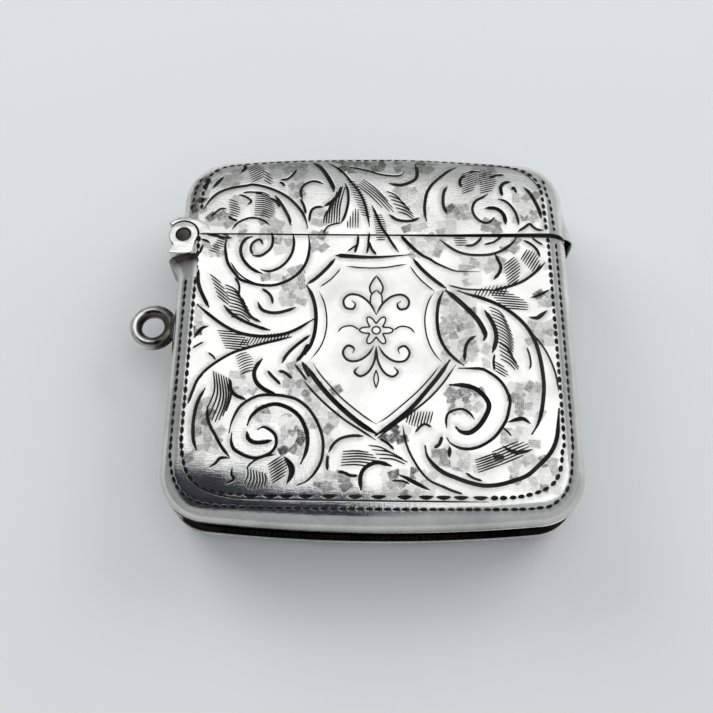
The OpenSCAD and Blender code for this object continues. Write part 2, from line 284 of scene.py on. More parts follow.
UPPER_LEFT = [
    (.32, [(-19.9, 14.6), (-19.2, 15.9), (-18.2, 16.9), (-16.8, 17.5), (-15, 17.85), (-14.4, 18),
           (-13.2, 17.8), (-11.8, 17.3), (-10.4, 16.5), (-9.3, 15.5), (-8.4, 14.3), (-7.9, 13.2),
           (-7.65, 12.1)]),
    (.22, [(-15.4, 16.85), (-14.6, 16.95), (-13.6, 16.85), (-12.9, 16.5)]),
    (.25, [(-15.9, 16.55), (-15.1, 16.3), (-14.4, 15.7), (-14.8, 15.2)]),
    (.3, [(-12.1, 16.1), (-11.5, 15.7), (-11, 14.95)]),
    (.35, [(-11.6, 16.5), (-10.8, 15.3), (-10.2, 14.2), (-9.8, 13.3), (-9.65, 12.5)]),
    (.25, [(-19, 13.5), (-18.4, 14.2), (-17.9, 14.6), (-17.3, 14.65)]),
    (.3, [(-16.9, 13.6), (-16.6, 13.3), (-15.9, 13)]),
    (.25, [(-16.4, 11.9), (-15.9, 12.6), (-15.2, 13.1), (-14.3, 13.4), (-13.4, 13.3), (-12.6, 12.9),
           (-12.1, 12.4)]),
    (.3, [(-8.4, 16), (-8.6, 17.2), (-8.2, 18), (-7.5, 18.45), (-6.8, 18.5), (-6, 18.2)]),
    (.3, [(-8.6, 16), (-8.2, 15.2), (-7.9, 14.1)]),
    (.3, [(-7.5, 13), (-7.4, 14), (-7.1, 14.7), (-6.5, 14.95), (-5.9, 14.95)]),
    (.28, [(-11.1, 18.7), (-10.2, 18.85), (-9.6, 19.5), (-9.2, 20.2)]),
    (.3, [(-11.1, 18.35), (-10.8, 18.2), (-10.6, 17.9)]),
    (.45, [(-15.7, 21.1), (-15.35, 20.6), (-15.5, 20.1), (-15.9, 19.7)], "wedge"),
    (.45, [(-17.8, 19.2), (-18.4, 18.4), (-19.1, 17.4)], "wedge"),
    (.4, [(-19.4, 18.9), (-19.8, 17.9), (-19.9, 17)], "wedge"),
    (.32, [(-16.9, 11), (-17.05, 9.5), (-16.8, 8), (-16.4, 7), (-15.6, 5.9), (-15, 5.25), (-13.5, 4.75),
           (-12.2, 4.55), (-11, 4.65), (-9.5, 5.3), (-8.3, 6.4), (-7.6, 7.8), (-7.35, 9.5), (-7.5, 11.2)]),
    (.3, [(-11.75, 11.4), (-11.6, 10.4), (-11.75, 9.5), (-12.3, 8.8), (-13, 8.35), (-13.8, 8.4)]),
    (.3, [(-9.3, 11.3), (-9.15, 10), (-9.35, 8.7), (-10, 7.5), (-10.9, 6.7), (-11.9, 6.35), (-12.8, 6.55)]),
    (.35, [(-14, 10.9), (-14.7, 10.6), (-15.15, 9.9), (-15.25, 9), (-14.95, 8), (-14.2, 7), (-13.4, 6.4),
           (-12.6, 6.05)]),
    (.28, [(-13.8, 8.5), (-14.1, 9.2), (-14, 9.9), (-13.6, 10.35), (-13.1, 10.5), (-12.7, 9.9)]),
    (.18, [(-16.3, 7.5), (-15.6, 6.4), (-14.8, 5.6), (-13.8, 5), (-12.4, 4.4)]),
    (.3, [(-19.3, 11.2), (-18, 10.9), (-17, 10.7), (-16.4, 10.75)]),
    (.3, [(-20, 10.6), (-19.3, 10.3), (-18.8, 10)], "wedge"),
    (.3, [(-19.6, 9.9), (-19.8, 9.2), (-20, 8.5)], "wedge"),
]

LID_MIDDLE = [
    (.5, [(-7.2, 21.3), (-6.4, 20.6), (-5.8, 19.8), (-5.2, 18.7), (-4.8, 17.8), (-4.7, 17.2)]),
    (.28, [(-5.5, 21.3), (-4.9, 20.9), (-4, 20.2), (-3.2, 19.3), (-2.6, 18.4), (-2, 17.6), (-1.5, 16.7),
           (-1.1, 15.7), (-.8, 14.5), (-.6, 13.4), (-.45, 12.4)]),
    (.3, [(-.15, 15.2), (.2, 14.3), (.6, 13.2), (1, 12.2), (1.6, 11.2), (2.2, 10.1), (2.9, 9)]),
    (.25, [(-3.1, 20.7), (-1.8, 20.4), (-.7, 20.1), (.5, 19.7), (1.6, 19.45), (2.9, 19.4), (3.5, 19.7),
           (3.6, 20)]),
    (.4, [(5, 21.1), (5.2, 20.2), (5.15, 19.3), (4.8, 18.8), (4.2, 18.4), (3.3, 18.1), (2.5, 18.15),
          (1.9, 18.3)]),
    (.35, [(9.9, 20.7), (8.9, 20.1), (8, 19.3), (7.3, 18.6), (6.8, 18), (6.3, 17), (6.1, 16), (6, 15),
           (6.05, 14), (6.2, 13.2)]),
    (.35, [(1.9, 14), (2.6, 13.4), (3.5, 13.15), (4.5, 13.2), (5.3, 13.6)]),
    (.3, [(-3.35, 18.3), (-3.05, 17.3), (-2.95, 16), (-3.1, 14.8), (-3.4, 13.6), (-3.8, 12.8)]),
    (.4, [(-3.9, 17.7), (-4, 17), (-4.4, 16.3), (-5, 15.6), (-5.7, 15.1)]),
    (.2, [(-5.8, 11.3), (-5.6, 11.9), (-5.2, 12.4), (-4.4, 12.7), (-3.8, 12.8)]),
    (.42, [(3.1, 11.3), (3.8, 10.4), (4.7, 9.4), (5.6, 8.6), (6.5, 8.1), (7.2, 7.6), (8.4, 7), (9.3, 6.65),
           (10.4, 6.55), (12.3, 6.55)], "head"),
    (.3, [(-1.75, 11.1), (-1.8, 10.2), (-2, 9.4), (-2.1, 8.9)]),
    (.2, [(-2.9, 9.1), (-2.3, 9.6), (-1.9, 9.9)]),
    (.25, [(-.45, 11.5), (-.55, 10.6), (-.6, 9.6), (-.75, 8.8)]),
    (.3, [(-.5, 10.3), (-.2, 9.4), (.3, 8.7)]),
]

UPPER_RIGHT = [
    (.35, [(10.9, 19.6), (10.4, 19.1), (10.25, 18.5), (10.4, 17.9)]),
    (.2, [(11.3, 20), (12, 20.15), (12.8, 20.1)]),
    (.3, [(13.9, 19.3), (14.6, 19.6), (15.5, 19.7)]),
    (.4, [(16.2, 18.7), (15.5, 18.5), (15.1, 18), (15.1, 17.4), (15.2, 16.8)]),
    (.3, [(16.4, 17.6), (16.6, 17.9), (16.9, 17.2)]),
    (.4, [(17.9, 17.9), (18.5, 17.1), (19, 16), (19.4, 14.9), (19.6, 13.8)]),
    (.35, [(8.7, 17.9), (8.35, 17.2), (8.2, 16.2), (8.25, 15.2), (8.6, 14.2)]),
    (.3, [(13.5, 17), (12.9, 16.5), (12.2, 16.1), (11.8, 15.6), (11.6, 14.8), (11.8, 14), (12.3, 13.35),
          (13, 13), (13.6, 13.15), (14.1, 13.75)]),
    (.3, [(14.7, 16.3), (15.5, 16), (16.1, 15.4), (16.6, 14.5), (16.85, 13.5), (16.9, 12.8)]),
    (.45, [(13.2, 15), (14.2, 15), (14.9, 14.6), (15.3, 13.9), (15.4, 12.9)]),
    (.3, [(16.8, 11.9), (17.5, 12.4), (18.2, 12.9), (18.5, 12.6), (19, 12.2), (19.7, 12.1)]),
    (.3, [(7.7, 10.7), (8.6, 9.9), (9.6, 9.2), (10.8, 8.8), (12.2, 8.7), (13.6, 8.85), (14.9, 9.4),
          (15.9, 10.2), (16.6, 11.1)]),
    (.3, [(10.6, 9.95), (11.4, 10), (12, 10.4), (12.5, 11)]),
    (.25, [(12.8, 10.1), (13.5, 10.3), (14, 10.5), (15, 11.3)]),
    (.3, [(17.4, 10.7), (18.2, 10.2), (18.8, 9.5), (19.1, 8.6)]),
    (.25, [(18.4, 11), (19, 10.5), (19.5, 10.2)]),
    (.35, [(14, 8.8), (14.3, 8), (14.55, 7.2), (14.3, 6.4), (13.7, 5.6)]),
]

RIGHT_MIDDLE = [
    (.3, [(19.6, 7.8), (18.8, 6.9), (17.8, 6), (16.8, 5.3), (15.5, 4.75), (14.2, 4.35), (13.2, 4.1)]),
    (.2, [(8.5, 4.8), (9.5, 4.5), (10.5, 4.3), (12, 4.25), (13.3, 4.25)]),
    (.4, [(9.5, 4.1), (10.6, 3.7), (12.2, 3.2), (13.6, 2.6), (14.8, 1.9), (15.9, 1), (16.8, 0),
          (17.5, -1.2), (18, -2.6), (18.3, -4.2), (18.45, -6), (18.45, -7.5), (18.2, -9.3), (17.9, -10.6),
          (17.5, -11.7), (16.8, -12.8)]),
    (.2, [(16.8, -.2), (17.8, -1.4), (18.8, -2.9), (19.5, -4.6), (19.9, -6.3), (20, -7.9)]),
    (.55, [(8.2, 4.1), (9.2, 3.2), (10.2, 2.2), (11.1, 1.2), (11.8, .2), (12.3, -.9), (12.4, -1.5),
           (12.2, -1.95)]),
    (.45, [(12.5, 1.6), (13.1, .5), (13.5, -.6), (13.6, -1.7), (13.4, -2.6), (13.1, -3.4)]),
    (.2, [(16.9, -2.8), (17.15, -3.8), (17.2, -4.8), (17, -5.4)]),
    (.35, [(10, -4.4), (10.1, -3.2), (10.3, -2.5), (10.7, -1.9), (11.3, -1.5)]),
    (.25, [(13.3, -3.7), (13.15, -4.6), (13.2, -5.5)]),
    (.35, [(17.6, 3.3), (18.3, 3.5), (19.1, 3.9), (20, 4.4)], "wedge"),
    (.45, [(17.3, .9), (18.2, .8), (18.8, 1.2), (19.5, 1.8)], "wedge"),
]

LOWER_RIGHT = [
    (.32, [(9.3, -5.35), (10.6, -5.35), (11.8, -5.4), (12.6, -5.8), (13.4, -6.4), (14, -7.1), (14.4, -7.9),
           (14.7, -9), (14.5, -10.2), (14.2, -11.2), (13.6, -12.2), (12.9, -13.1), (12, -13.8), (11, -14.3),
           (10, -14.5), (9, -14.35), (8.2, -13.9), (7.8, -13.3)]),
    (.5, [(8.3, -7.3), (9.8, -7.35), (11, -7.7), (11.9, -8.5), (12.4, -9.4), (12.3, -10.2), (11.8, -11.2),
          (11.1, -12.1), (10.2, -12.7), (9.3, -12.6), (8.8, -12.1)]),
    (.25, [(7.8, -12.2), (7.8, -11.2), (8.1, -10.5), (9, -10.1), (9.7, -10.1), (10.4, -10.6),
           (10.8, -11.2)]),
    (.45, [(14.3, -11.5), (15.2, -11.2), (16, -11.1), (16.8, -11.7)], "wedge"),
    (.2, [(13.8, -12.1), (14.3, -12.6), (14.6, -13)]),
    (.4, [(13.6, -14), (14.2, -14.5), (15, -14.8), (16, -14.7), (16.9, -14.4)], "wedge"),
    (.42, [(5.5, -14.2), (5.7, -15.3), (6.4, -16.3), (7.4, -17.1), (8.6, -17.6), (10, -18.1), (11.5, -18.4),
           (13, -18.3), (14.5, -17.9), (16, -17.3), (17.2, -16.3), (18.4, -15.1), (19.1, -14),
           (19.5, -12.8), (19.7, -11.4), (19.9, -9.9)]),
    (.25, [(9.7, -17.1), (10.4, -17.6), (11.3, -17.9)]),
    (.25, [(6.9, -18.4), (8, -18.9), (9.2, -19.3)]),
]

BOTTOM_MIDDLE = [
    (.3, [(-4.6, -15), (-4.2, -14.2), (-3.6, -13.6), (-2.9, -13.3), (-2, -13.15), (-1, -13.2)]),
    (.4, [(-1.2, -19), (-1.3, -17.8), (-1, -16.9), (-.3, -16.3), (.6, -16.05), (1.9, -16.4)]),
    (.3, [(-3.6, -17.1), (-3, -17.2), (-2.3, -17.5), (-1.6, -17.5)]),
    (.3, [(-4.7, -15.4), (-4.75, -16.2), (-4.7, -16.9)]),
    (.22, [(3.2, -12.1), (3.4, -13.5), (3.8, -14.8), (4.4, -16), (5.1, -17.1), (6, -18), (7.3, -18.6),
           (8.2, -19)]),
    (.25, [(.8, -13.5), (1.5, -13.9), (2.2, -14.6)]),
    (.4, [(2.5, -17.3), (3.5, -17.7), (4.8, -18.4), (6, -19)], "wedge"),
    (.2, [(2, -18), (3, -18), (3.8, -18.3)]),
    (.25, [(4.5, -12.7), (5, -12.1), (5.5, -11.8), (6.2, -12.1)]),
    (.35, [(7.3, -13.2), (7, -14), (6.5, -14.4)]),
    (.4, [(8.1, -14.2), (8, -15.5)], "wedge"),
]

LOWER_LEFT = [
    (.3, [(-15.2, -13), (-15, -11.8), (-14.6, -10.7), (-14.1, -9.9), (-13.2, -9.2), (-12.2, -8.75),
          (-11, -8.65), (-9.6, -8.75), (-8.4, -9.05), (-7.5, -9.6), (-6.7, -10.4), (-5.9, -11.7),
          (-5.35, -13.2), (-5.2, -14.6), (-5.4, -16), (-6, -17.2), (-6.8, -18.1), (-7.8, -18.6)]),
    (.32, [(-14.9, -13), (-14.9, -13.9), (-14.6, -14.7), (-13.9, -15.2), (-13, -15.6), (-12.1, -15.7),
           (-11.2, -15.4), (-10.5, -14.9), (-10.15, -14.1), (-10.3, -13.2), (-10.9, -12.6), (-11.6, -12.3),
           (-12.2, -12.6)]),
    (.4, [(-13.3, -12.1), (-13, -11.2), (-12.3, -10.4), (-11.4, -9.9), (-10.4, -9.7), (-9.3, -10),
          (-8.3, -10.6), (-7.6, -11.4), (-7.1, -12.5), (-6.85, -13.7), (-7, -15), (-7.5, -16.3)]),
    (.4, [(-13.3, -12.9), (-13.1, -13.6), (-12.5, -14), (-11.6, -14), (-10.7, -13.8)]),
    (.35, [(-18.1, -8), (-18.7, -9.3), (-19, -10.8), (-19.05, -12.3), (-18.9, -13.7), (-18.5, -14.9)]),
    (.3, [(-17.7, -10), (-17.6, -11.2), (-17.2, -12.3), (-16.6, -13.3), (-15.9, -14.5), (-15, -15.6)]),
    (.3, [(-18.3, -6), (-19, -7), (-19.4, -8.2), (-19.8, -9.7)]),
    (.35, [(-15.4, -7), (-15.3, -8), (-14.8, -8.7), (-13.7, -9.2)]),
    (.42, [(-12.1, -4.5), (-12.65, -5.3), (-12.9, -6.2), (-12.6, -7.2), (-11.9, -7.9), (-10.8, -8.5),
           (-10.2, -8.7)]),
    (.3, [(-17.2, -16.9), (-16.4, -16.3), (-16, -15.8), (-15.4, -15.7), (-14.8, -15.8)], "wedge"),
    (.3, [(-14.6, -16.6), (-14.65, -17.5), (-14.4, -18), (-15.4, -18.6)], "wedge"),
    (.2, [(-13.2, -16.9), (-12.6, -16.2), (-11.6, -15.6), (-10.2, -15.3)]),
    (.6, [(-9.3, -15.5), (-8.6, -16.4), (-8.4, -17.3), (-8.9, -18.5)], "wedge"),
]

LEFT_MIDDLE = [
    (.4, [(-19.9, 6.5), (-19.9, 5.4), (-19.6, 4.2), (-19, 2.9), (-18.4, 1.8)]),
    (.35, [(-19.7, 2.1), (-18.7, 1.2), (-17.6, .3), (-16.5, -.5), (-15.2, -1.2), (-13.8, -1.6),
           (-12.3, -1.75), (-10.8, -1.65), (-9.4, -1.3), (-8.2, -.7), (-7.2, 0), (-6.6, .4)]),
    (.35, [(-7, -1.6), (-8.4, -2.8), (-9.4, -3.9), (-9.9, -4.9)]),
    (.4, [(-7.2, -2.7), (-7.6, -3.7), (-8.3, -4.7)]),
    (.3, [(-9, -1.8), (-10.5, -2.2), (-12, -2.6), (-13.6, -3.1), (-15.2, -3.7), (-16.4, -4.4),
          (-17.6, -5.3), (-18.5, -6.2), (-19.1, -7)]),
    (.3, [(-14.6, 2.8), (-14.4, 1.9), (-13.9, 1), (-13.3, .4), (-12.5, 0)]),
    (.35, [(-16.7, 2), (-15.8, 1), (-14.6, .2), (-13.3, -.4), (-12.2, -.8), (-11.4, -1)]),
    (.35, [(-12.9, 2.4), (-12.5, 1.6), (-11.7, 1.2), (-10.7, 1.15), (-9.7, 1.4), (-8.7, 1.8)]),
    (.3, [(-12.5, 4.1), (-11.8, 3.6), (-11.4, 3), (-11.25, 2.3)]),
    (.25, [(-15.7, 5.5), (-15.2, 4.7), (-15.1, 3.8), (-15.2, 3.2)]),
    (.3, [(-11.4, -5.9), (-11, -6.4), (-10.5, -6.9), (-10, -7.4)]),
    (.3, [(-10.2, -5.85), (-9.5, -6.1), (-8.8, -6.7)]),
    (.25, [(-8.5, -5.1), (-7.9, -5.9), (-7.2, -6.9)]),
    (.3, [(-7.7, -4.8), (-7.3, -5.8), (-6.9, -6.5)]),
    (.4, [(-18.2, -.6), (-18.9, -.8), (-19.4, -1.4), (-19.8, -2.1)], "wedge"),
    (.2, [(-19.8, -3.2), (-19.2, -2.8), (-18.7, -2.5)]),
    (.2, [(-18, -3.8), (-17.5, -4.2), (-17.2, -4.6)]),
]
# Rows of fine lines that shade the leaves: start, end, most lines, stroke, width, fan, bend.
HATCHING = [
    ((-15.2, 20.3), (-14.4, 18.4), 12, (1.3, .8), .14),
    ((-13.2, 20), (-13.0, 18.7), 7, (.9, -.6), .14),
    ((-13.9, 17), (-13.9, 13.8), 14, (1.7, -.5), .14, (.2, .1), .08),
    ((-17, 15.9), (-16.8, 13.9), 9, (1, -.35), .13),
    ((-5.8, 12.8), (-4, 12.8), 8, (.3, 1.6), .16, (.3, 3.4), .04),
    ((-3, 12.2), (-1.8, 12.2), 5, (0, .9), .13, (0, 1.6)),
    ((-1.2, 18.9), (-1.9, 18.0), 5, (3, -3.1), .14, (0, 0), .03),
    ((-3.2, 18.8), (-1.4, 14), 20, (1.1, -.3), .12),
    ((1.6, 17.2), (2.9, 14.4), 14, (1.6, -1.1), .16, (.2, .1), .08),
    ((0, 13.9), (.4, 10.6), 12, (1, .05), .13),
    ((10.5, 19.7), (10.5, 17), 12, (1.4, .6), .14),
    ((12.6, 19.7), (12.6, 17.1), 12, (1.5, .4), .14),
    ((9.2, 11.2), (9.5, 10), 7, (1.1, 0), .13),
    ((13, 2.1), (14, -2.2), 15, (1.7, -1.3), .14, (-.4, -.2), .1),
    ((13.8, -2.2), (14, -4.2), 10, (1.5, -1.7), .16, (0, .4), .08),
    ((13.2, -4.5), (13.3, -5.6), 4, (1.1, -.7), .14),
    ((14.9, 7.4), (15.3, 4.6), 12, (1.3, 1.1), .15, (-.1, -.1)),
    ((16.9, 8.2), (18.3, 6.4), 9, (.8, 1.3), .15),
    ((12.9, 4.2), (14.5, 2), 10, (2.4, -.2), .15, (.4, 0)),
    ((11.2, 3.2), (14.6, 3.6), 9, (.6, 1.1), .12),
    ((-3.1, -14.9), (-3.3, -16.4), 6, (2.7, -.05), .15, (.2, 0), .04),
    ((-.4, -14.2), (.7, -15.6), 6, (2.4, -.8), .15, (.3, .2), .08),
    ((3.9, -10.4), (6.4, -10.4), 9, (-.35, -1.3), .14),
    ((-17.3, -6), (-15.6, -6.8), 9, (-.4, -4.4), .17, (.4, .6), .1),
    ((-15, -4.2), (-14.3, -6.3), 8, (1.2, .5), .13, (0, 0), .06),
    ((-13, -16.8), (-11.2, -17.4), 8, (-.3, -1.7), .15, (.3, .4), .12),
    ((-10.9, -16.4), (-10.4, -18.4), 9, (1.3, .9), .15),
    ((-18.5, 5.9), (-17.5, 3.2), 9, (1.3, -1.1), .15),
    ((-16.7, 4.6), (-15.8, .6), 12, (1.8, -1.4), .16, (.2, .6), .1),
    ((-17.2, -1.1), (-16.2, -3.2), 10, (2.3, -.2), .14),
    ((-14.6, -2.9), (-9.6, -2.1), 20, (.4, .8), .12),
    ((10.7, -15.7), (11, -17), 6, (2.2, .8), .15),
    ((12.5, -14.8), (13, -16.3), 7, (2.8, 1.2), .15),
    ((-18.9, 9.1), (-17.6, 11.2), 9, (.9, -.3), .13),
]

# The dull ground between the scrolls: left, right, bottom, top, angle of its patches, darkness.
GROUND = [
    (-19.5, -17, 8.3, 11, 20, .5), (-11.3, -10, 9, 13, 80, .6), (-10, -8.5, 16.5, 21, 60, .6),
    (-4, 7, 20, 22, 10, .8), (3.5, 6, 12, 13, 0, .6), (-7.3, -5.5, 9, 11.5, 60, .6),
    (4.3, 7.5, 8.5, 11, 45, .6), (8.5, 11.5, 13.5, 15.5, 20, .7), (12.7, 14, 11.8, 13, 0, .6),
    (16.5, 19.3, 13.3, 17, 70, .6), (15, 16.8, 9.2, 10.5, 20, .6), (7.6, 11.5, -4.5, 3.6, 30, .6),
    (17.2, 19.9, -2.3, 0, 0, .7), (18.5, 20, 7, 8, 0, .7), (18.5, 20, 2.2, 3.4, 0, .7),
    (12.2, 13, -5.2, -2.3, 80, .6), (8, 12, -10.3, -7.6, 30, .75), (14.6, 18, -10.8, -7, 50, .65),
    (14.5, 19, -19, -15.2, -40, .6), (-7.3, -4, -12, -7.5, 50, .65), (-5.2, -4.5, -14.5, -12, 80, .6),
    (1, 3.2, -13.7, -12.5, 0, .9), (-6, -2, -19, -17.7, 0, .65), (1, 6, -19.7, -17.5, 45, .75),
    (-10.5, -8, 2.3, 6.5, -60, .55), (-9.3, -7, -8.7, -4.9, 40, .65), (-18.8, -17.4, -15, -9.3, 80, .8),
    (-16.8, -16, -15.3, -12.5, 70, .6), (-12.6, -8.7, -11.8, -10.2, 10, .65),
    (-9.8, -7.2, -15, -11.2, 45, .85), (-19.8, -19.3, -1.5, 2, 90, .7), (-13.2, -12, 10.5, 14, 60, .55),
    (-16.6, -15.2, 14.6, 16.4, 0, .55), (-12.4, -9.2, 19, 21.2, 20, .5), (7.5, 9.6, 11.5, 13.2, 30, .55),
    (-19.3, -17, 12.3, 14, 20, .8), (-21.4, -19.6, 14.4, 18.5, 80, .9), (-18.6, -16.3, 17.6, 20.4, 30, .5),
    (10.2, 15, 6.7, 8.4, 0, .5), (-19.6, -17.6, -18, -15.6, 40, .6), (12, 14.6, 18.6, 21, 60, .55),
    (-15.3, -12.8, -8.6, -6.4, 30, .6), (2.6, 5.8, 14.2, 17.6, 50, .5), (8.6, 12.4, -16.9, -14.9, 15, .55),
    (-12.5, -10.6, 5.2, 6.2, 0, .55), (6.3, 9.4, -16.4, -14.6, 20, .6), (13.5, 17, -14, -12.2, 10, .5),
    (-15.6, -14.5, 8.2, 12.5, 85, .5), (10.2, 12.2, 5, 6.2, 0, .45), (-7.2, -5.7, 12.6, 14.4, 0, .5),
]

# The left half of the flower's tendrils is this right half, mirrored at FLOWER_X.
FLOWER_X, FLOWER_Y = .35, -.9
TENDRILS = [
    (.24, [(.35, 1), (1, 2.3), (2.1, 3.3), (3.3, 3.5), (4, 2.8), (3.8, 1.9), (3, 1.7), (2.7, 2.3),
           (3.1, 2.7)]),
    (.2, [(.9, 3.5), (1.1, 4.4), (.8, 5.2), (.35, 5.9)]),
    (.17, [(1, 2.3), (1, 2.9), (.9, 3.5), (.35, 4.1)]),
    (.24, [(.6, -2.8), (1.3, -3.9), (2.4, -4.6), (3.5, -4.5), (4, -3.6), (3.5, -2.8), (2.8, -3.1),
           (2.9, -3.7)]),
    (.24, [(.35, -2.9), (.55, -4.6), (1.2, -5.9), (2.1, -6.4), (2.7, -5.9), (2.3, -5.3)]),
    (.17, [(2.2, -.9), (3.1, -.4), (4.1, -.6), (4.6, -1.2)]),
    (.15, [(.35, -5.6), (.6, -6.7), (.35, -7.8)]),
]


def mirrored(strokes, middle=0):
    return [(width, [(2 * middle - x, y) for x, y in points], *kind) for width, points, *kind in strokes]


def oval(x, y, radius_x, radius_y, count):
    turn = np.linspace(0, 2 * math.pi, count)
    return np.stack([x + radius_x * np.cos(turn), y + radius_y * np.sin(turn)], axis=1)


def flourish(field):
    """A plain flower in the shield, with curling tendrils that mirror each other."""
    steps, eye = 97, .45
    petals = 1.35 + .5 * np.cos(6 * np.linspace(0, 2 * math.pi, steps))
    draw(field, .17, oval(FLOWER_X, FLOWER_Y, petals, petals, steps), "even")
    draw(field, .17, oval(FLOWER_X, FLOWER_Y, eye, eye, 13), "even")
    engrave(field, TENDRILS + mirrored(TENDRILS, FLOWER_X))


def ground(field, seed):
    """Small patches of parallel lines, turned every way, over a paler even tone."""
    pitch, turned, base_tone = .95, 40, .42
    chance = np.random.default_rng(seed)
    for x0, x1, y0, y1, angle, dark in GROUND:
        field.patch((x0 + x1) / 2, (y0 + y1) / 2, x1 - x0 + .3, y1 - y0 + .3, 0, base_tone * dark)
        for x in np.arange(x0 + .4, x1 + .2, pitch):
            for y in np.arange(y0 + .4, y1 + .2, pitch):
                dx, dy, turn, tone = chance.uniform(-1, 1, 4)
                at = x + .25 * dx, y + .25 * dy
                field.patch(*at, 1.45, 1.1, angle + turned * turn, dark * (.95 + .6 * tone))


def dashes(field, path, pitch, width, length):
    """Little lens-shaped cuts along a path, each turned to follow it."""
    line = smooth_line(path, 0.05)
    far = distances(line)
    chance = np.random.default_rng(len(path))
    for s in np.arange(pitch / 2, far[-1], pitch):
        s += chance.uniform(-.07, .07)
        along = s + np.array([-length / 2, 0, length / 2])
        points = np.stack([np.interp(along, far, line[:, 0]), np.interp(along, far, line[:, 1])], axis=1)
        draw(field, width * chance.uniform(.85, 1.15), points, "wedge", DASH_DEPTH)


def border(field):
    """The rows of dashes and fine lines round the body and the lid, and the painted shadow of the seam."""
    body_inner = [(-20.2, 11), (-20.2, -11.5), (-20.1, -14.4), (-19.7, -16.4), (-18.9, -17.9),
                  (-17.6, -18.9), (-15.6, -19.4), (-12.8, -19.6)]
    body_outer = [(-21.35, 8.3), (-21.35, -13), (-21.2, -16), (-20.6, -18.2), (-19.4, -19.8),
                  (-17.6, -20.6), (-14, -20.9), (0, -21), (14, -20.9), (17.2, -20.7), (18.3, -20.5),
                  (19.7, -19.4), (20.5, -17.8), (20.9, -15.4), (21.15, -11.4), (21.15, 10.9)]
    body_right = [(12.1, -19.7), (14.6, -19.6), (16.9, -19.1), (18.6, -18.2), (19.5, -16.7), (19.9, -14.5),
                  (20.2, -11.5), (20.2, 11)]
    lid_inner = [(-20.2, 14.4), (-20.1, 17.5), (-19.5, 19.3), (-18.5, 20.3), (-17.5, 20.8), (-16, 21.1),
                 (-13.5, 21.4), (-10, 21.7), (0, 22), (5, 22), (10, 21.75), (15, 21.3), (17.5, 20.6),
                 (19.1, 19.3), (19.8, 17.6), (20, 14.8), (20.1, 12)]
    lid_left = [(-21.5, 14.5), (-21.3, 16), (-21, 17.6), (-20.5, 19)]
    lid_right = [(20.2, 19.3), (20.5, 17), (20.8, 16), (21.1, 12.2)]
    for path, pitch, width, length in (
        (body_inner, .93, .4, .82), (body_outer, .93, .36, .84), (body_right, .92, .42, .72),
        (lid_inner, .95, .4, .72), (lid_left, .95, .4, .7), (lid_right, .95, .38, .7),
    ):
        dashes(field, path, pitch, width, length)
    for x in (-12.5, -10.5, -8.9, -6.9, -4.5, -1.8, .6, 3.3, 5.5, 7.3, 9.1, 11.1):
        draw(field, .42, [(x - .8, -19.62), (x, -19.72), (x + .8, -19.62)], "wedge", 1.1 * DASH_DEPTH)
    engrave(field, [
        (.16, [(-19.8, -16.7), (-19, -18), (-17.5, -19.1), (-15, -19.8), (-12, -20), (0, -20.1),
               (12, -20.1)]),
        (.14, [(10, 21.3), (13, 21.2), (15, 21.1), (16.6, 20.7), (18, 19.9), (19.2, 18.6), (19.8, 17.3)]),
    ])
    # The seam's dark line is painted shadow in the gap between lid and body, wider to the right where the
    # lid lifts; it has no depth.
    seam = (MOUTH + SEAM) / 2
    draw(field, .2, [(-19.8, seam), (-6, seam), (4, seam), (14, seam + .06), (22.5, seam + .18)], "even", 0)
    draw(field, .62, [(2, seam), (8, seam + .02), (14, seam + .08), (22.5, seam + .2)], "grow", 0)


def front_field():
    field = Field()
    for strokes in (SHIELD, UPPER_LEFT, LID_MIDDLE, UPPER_RIGHT, RIGHT_MIDDLE, LOWER_RIGHT, BOTTOM_MIDDLE,
                    LOWER_LEFT, LEFT_MIDDLE):
        engrave(field, strokes)
    flourish(field)
    for row in HATCHING:
        hatch(field, *row)
    ground(field, 7)
    border(field)
    return field


def back_field():
    """The unseen back: the same hand's scrolls, the same on both sides of a plain oval."""
    field = Field()
    half = UPPER_LEFT[:22] + LOWER_LEFT + LEFT_MIDDLE
    engrave(field, half + mirrored(half))
    draw(field, .42, oval(0, -1, 5.6, 7.4, 49), "even")
    draw(field, .16, oval(0, -1, 4.9, 6.7, 49), "even")
    body_half = [(20.2, 11), (20.2, -12), (20, -15.5), (18.9, -17.9), (16.5, -19.2), (12, -19.6),
                 (0, -19.8)]
    lid_half = [(20.2, 12), (20.1, 17.2), (18.9, 19.9), (16, 21), (10, 21.3), (0, 21.5)]
    for path in (body_half, lid_half):
        dashes(field, path, .95, .34, .72)
        dashes(field, [(-x, y) for x, y in path], .95, .34, .72)
    return field


# ---- the four skins ----


def cut_line(x, on_lid):
    """Where the mouth of the body, or the lower edge of the lid, crosses the face."""
    flare = np.interp(x, [4, 14, HALF_W + 2], [0, 0.3 * SEAM_FLARE, SEAM_FLARE])
    return SEAM + flare if on_lid else np.full_like(x, MOUTH)


def notch_line(x, on_lid):
    """The same edge on the rolled left side, which keeps clear of the hinge's round parts."""
    reach = HOOD_IN + 0.05 if on_lid else HOOD_IN
    off = np.abs(x - PIN[0])
    rise = np.sqrt(np.maximum(reach**2 - off**2, 0))
    edge = cut_line(x, on_lid)
    clear = np.maximum(edge, PIN[1] + rise) if on_lid else np.minimum(edge, PIN[1] - rise)
    return np.where(off < reach, clear, edge)


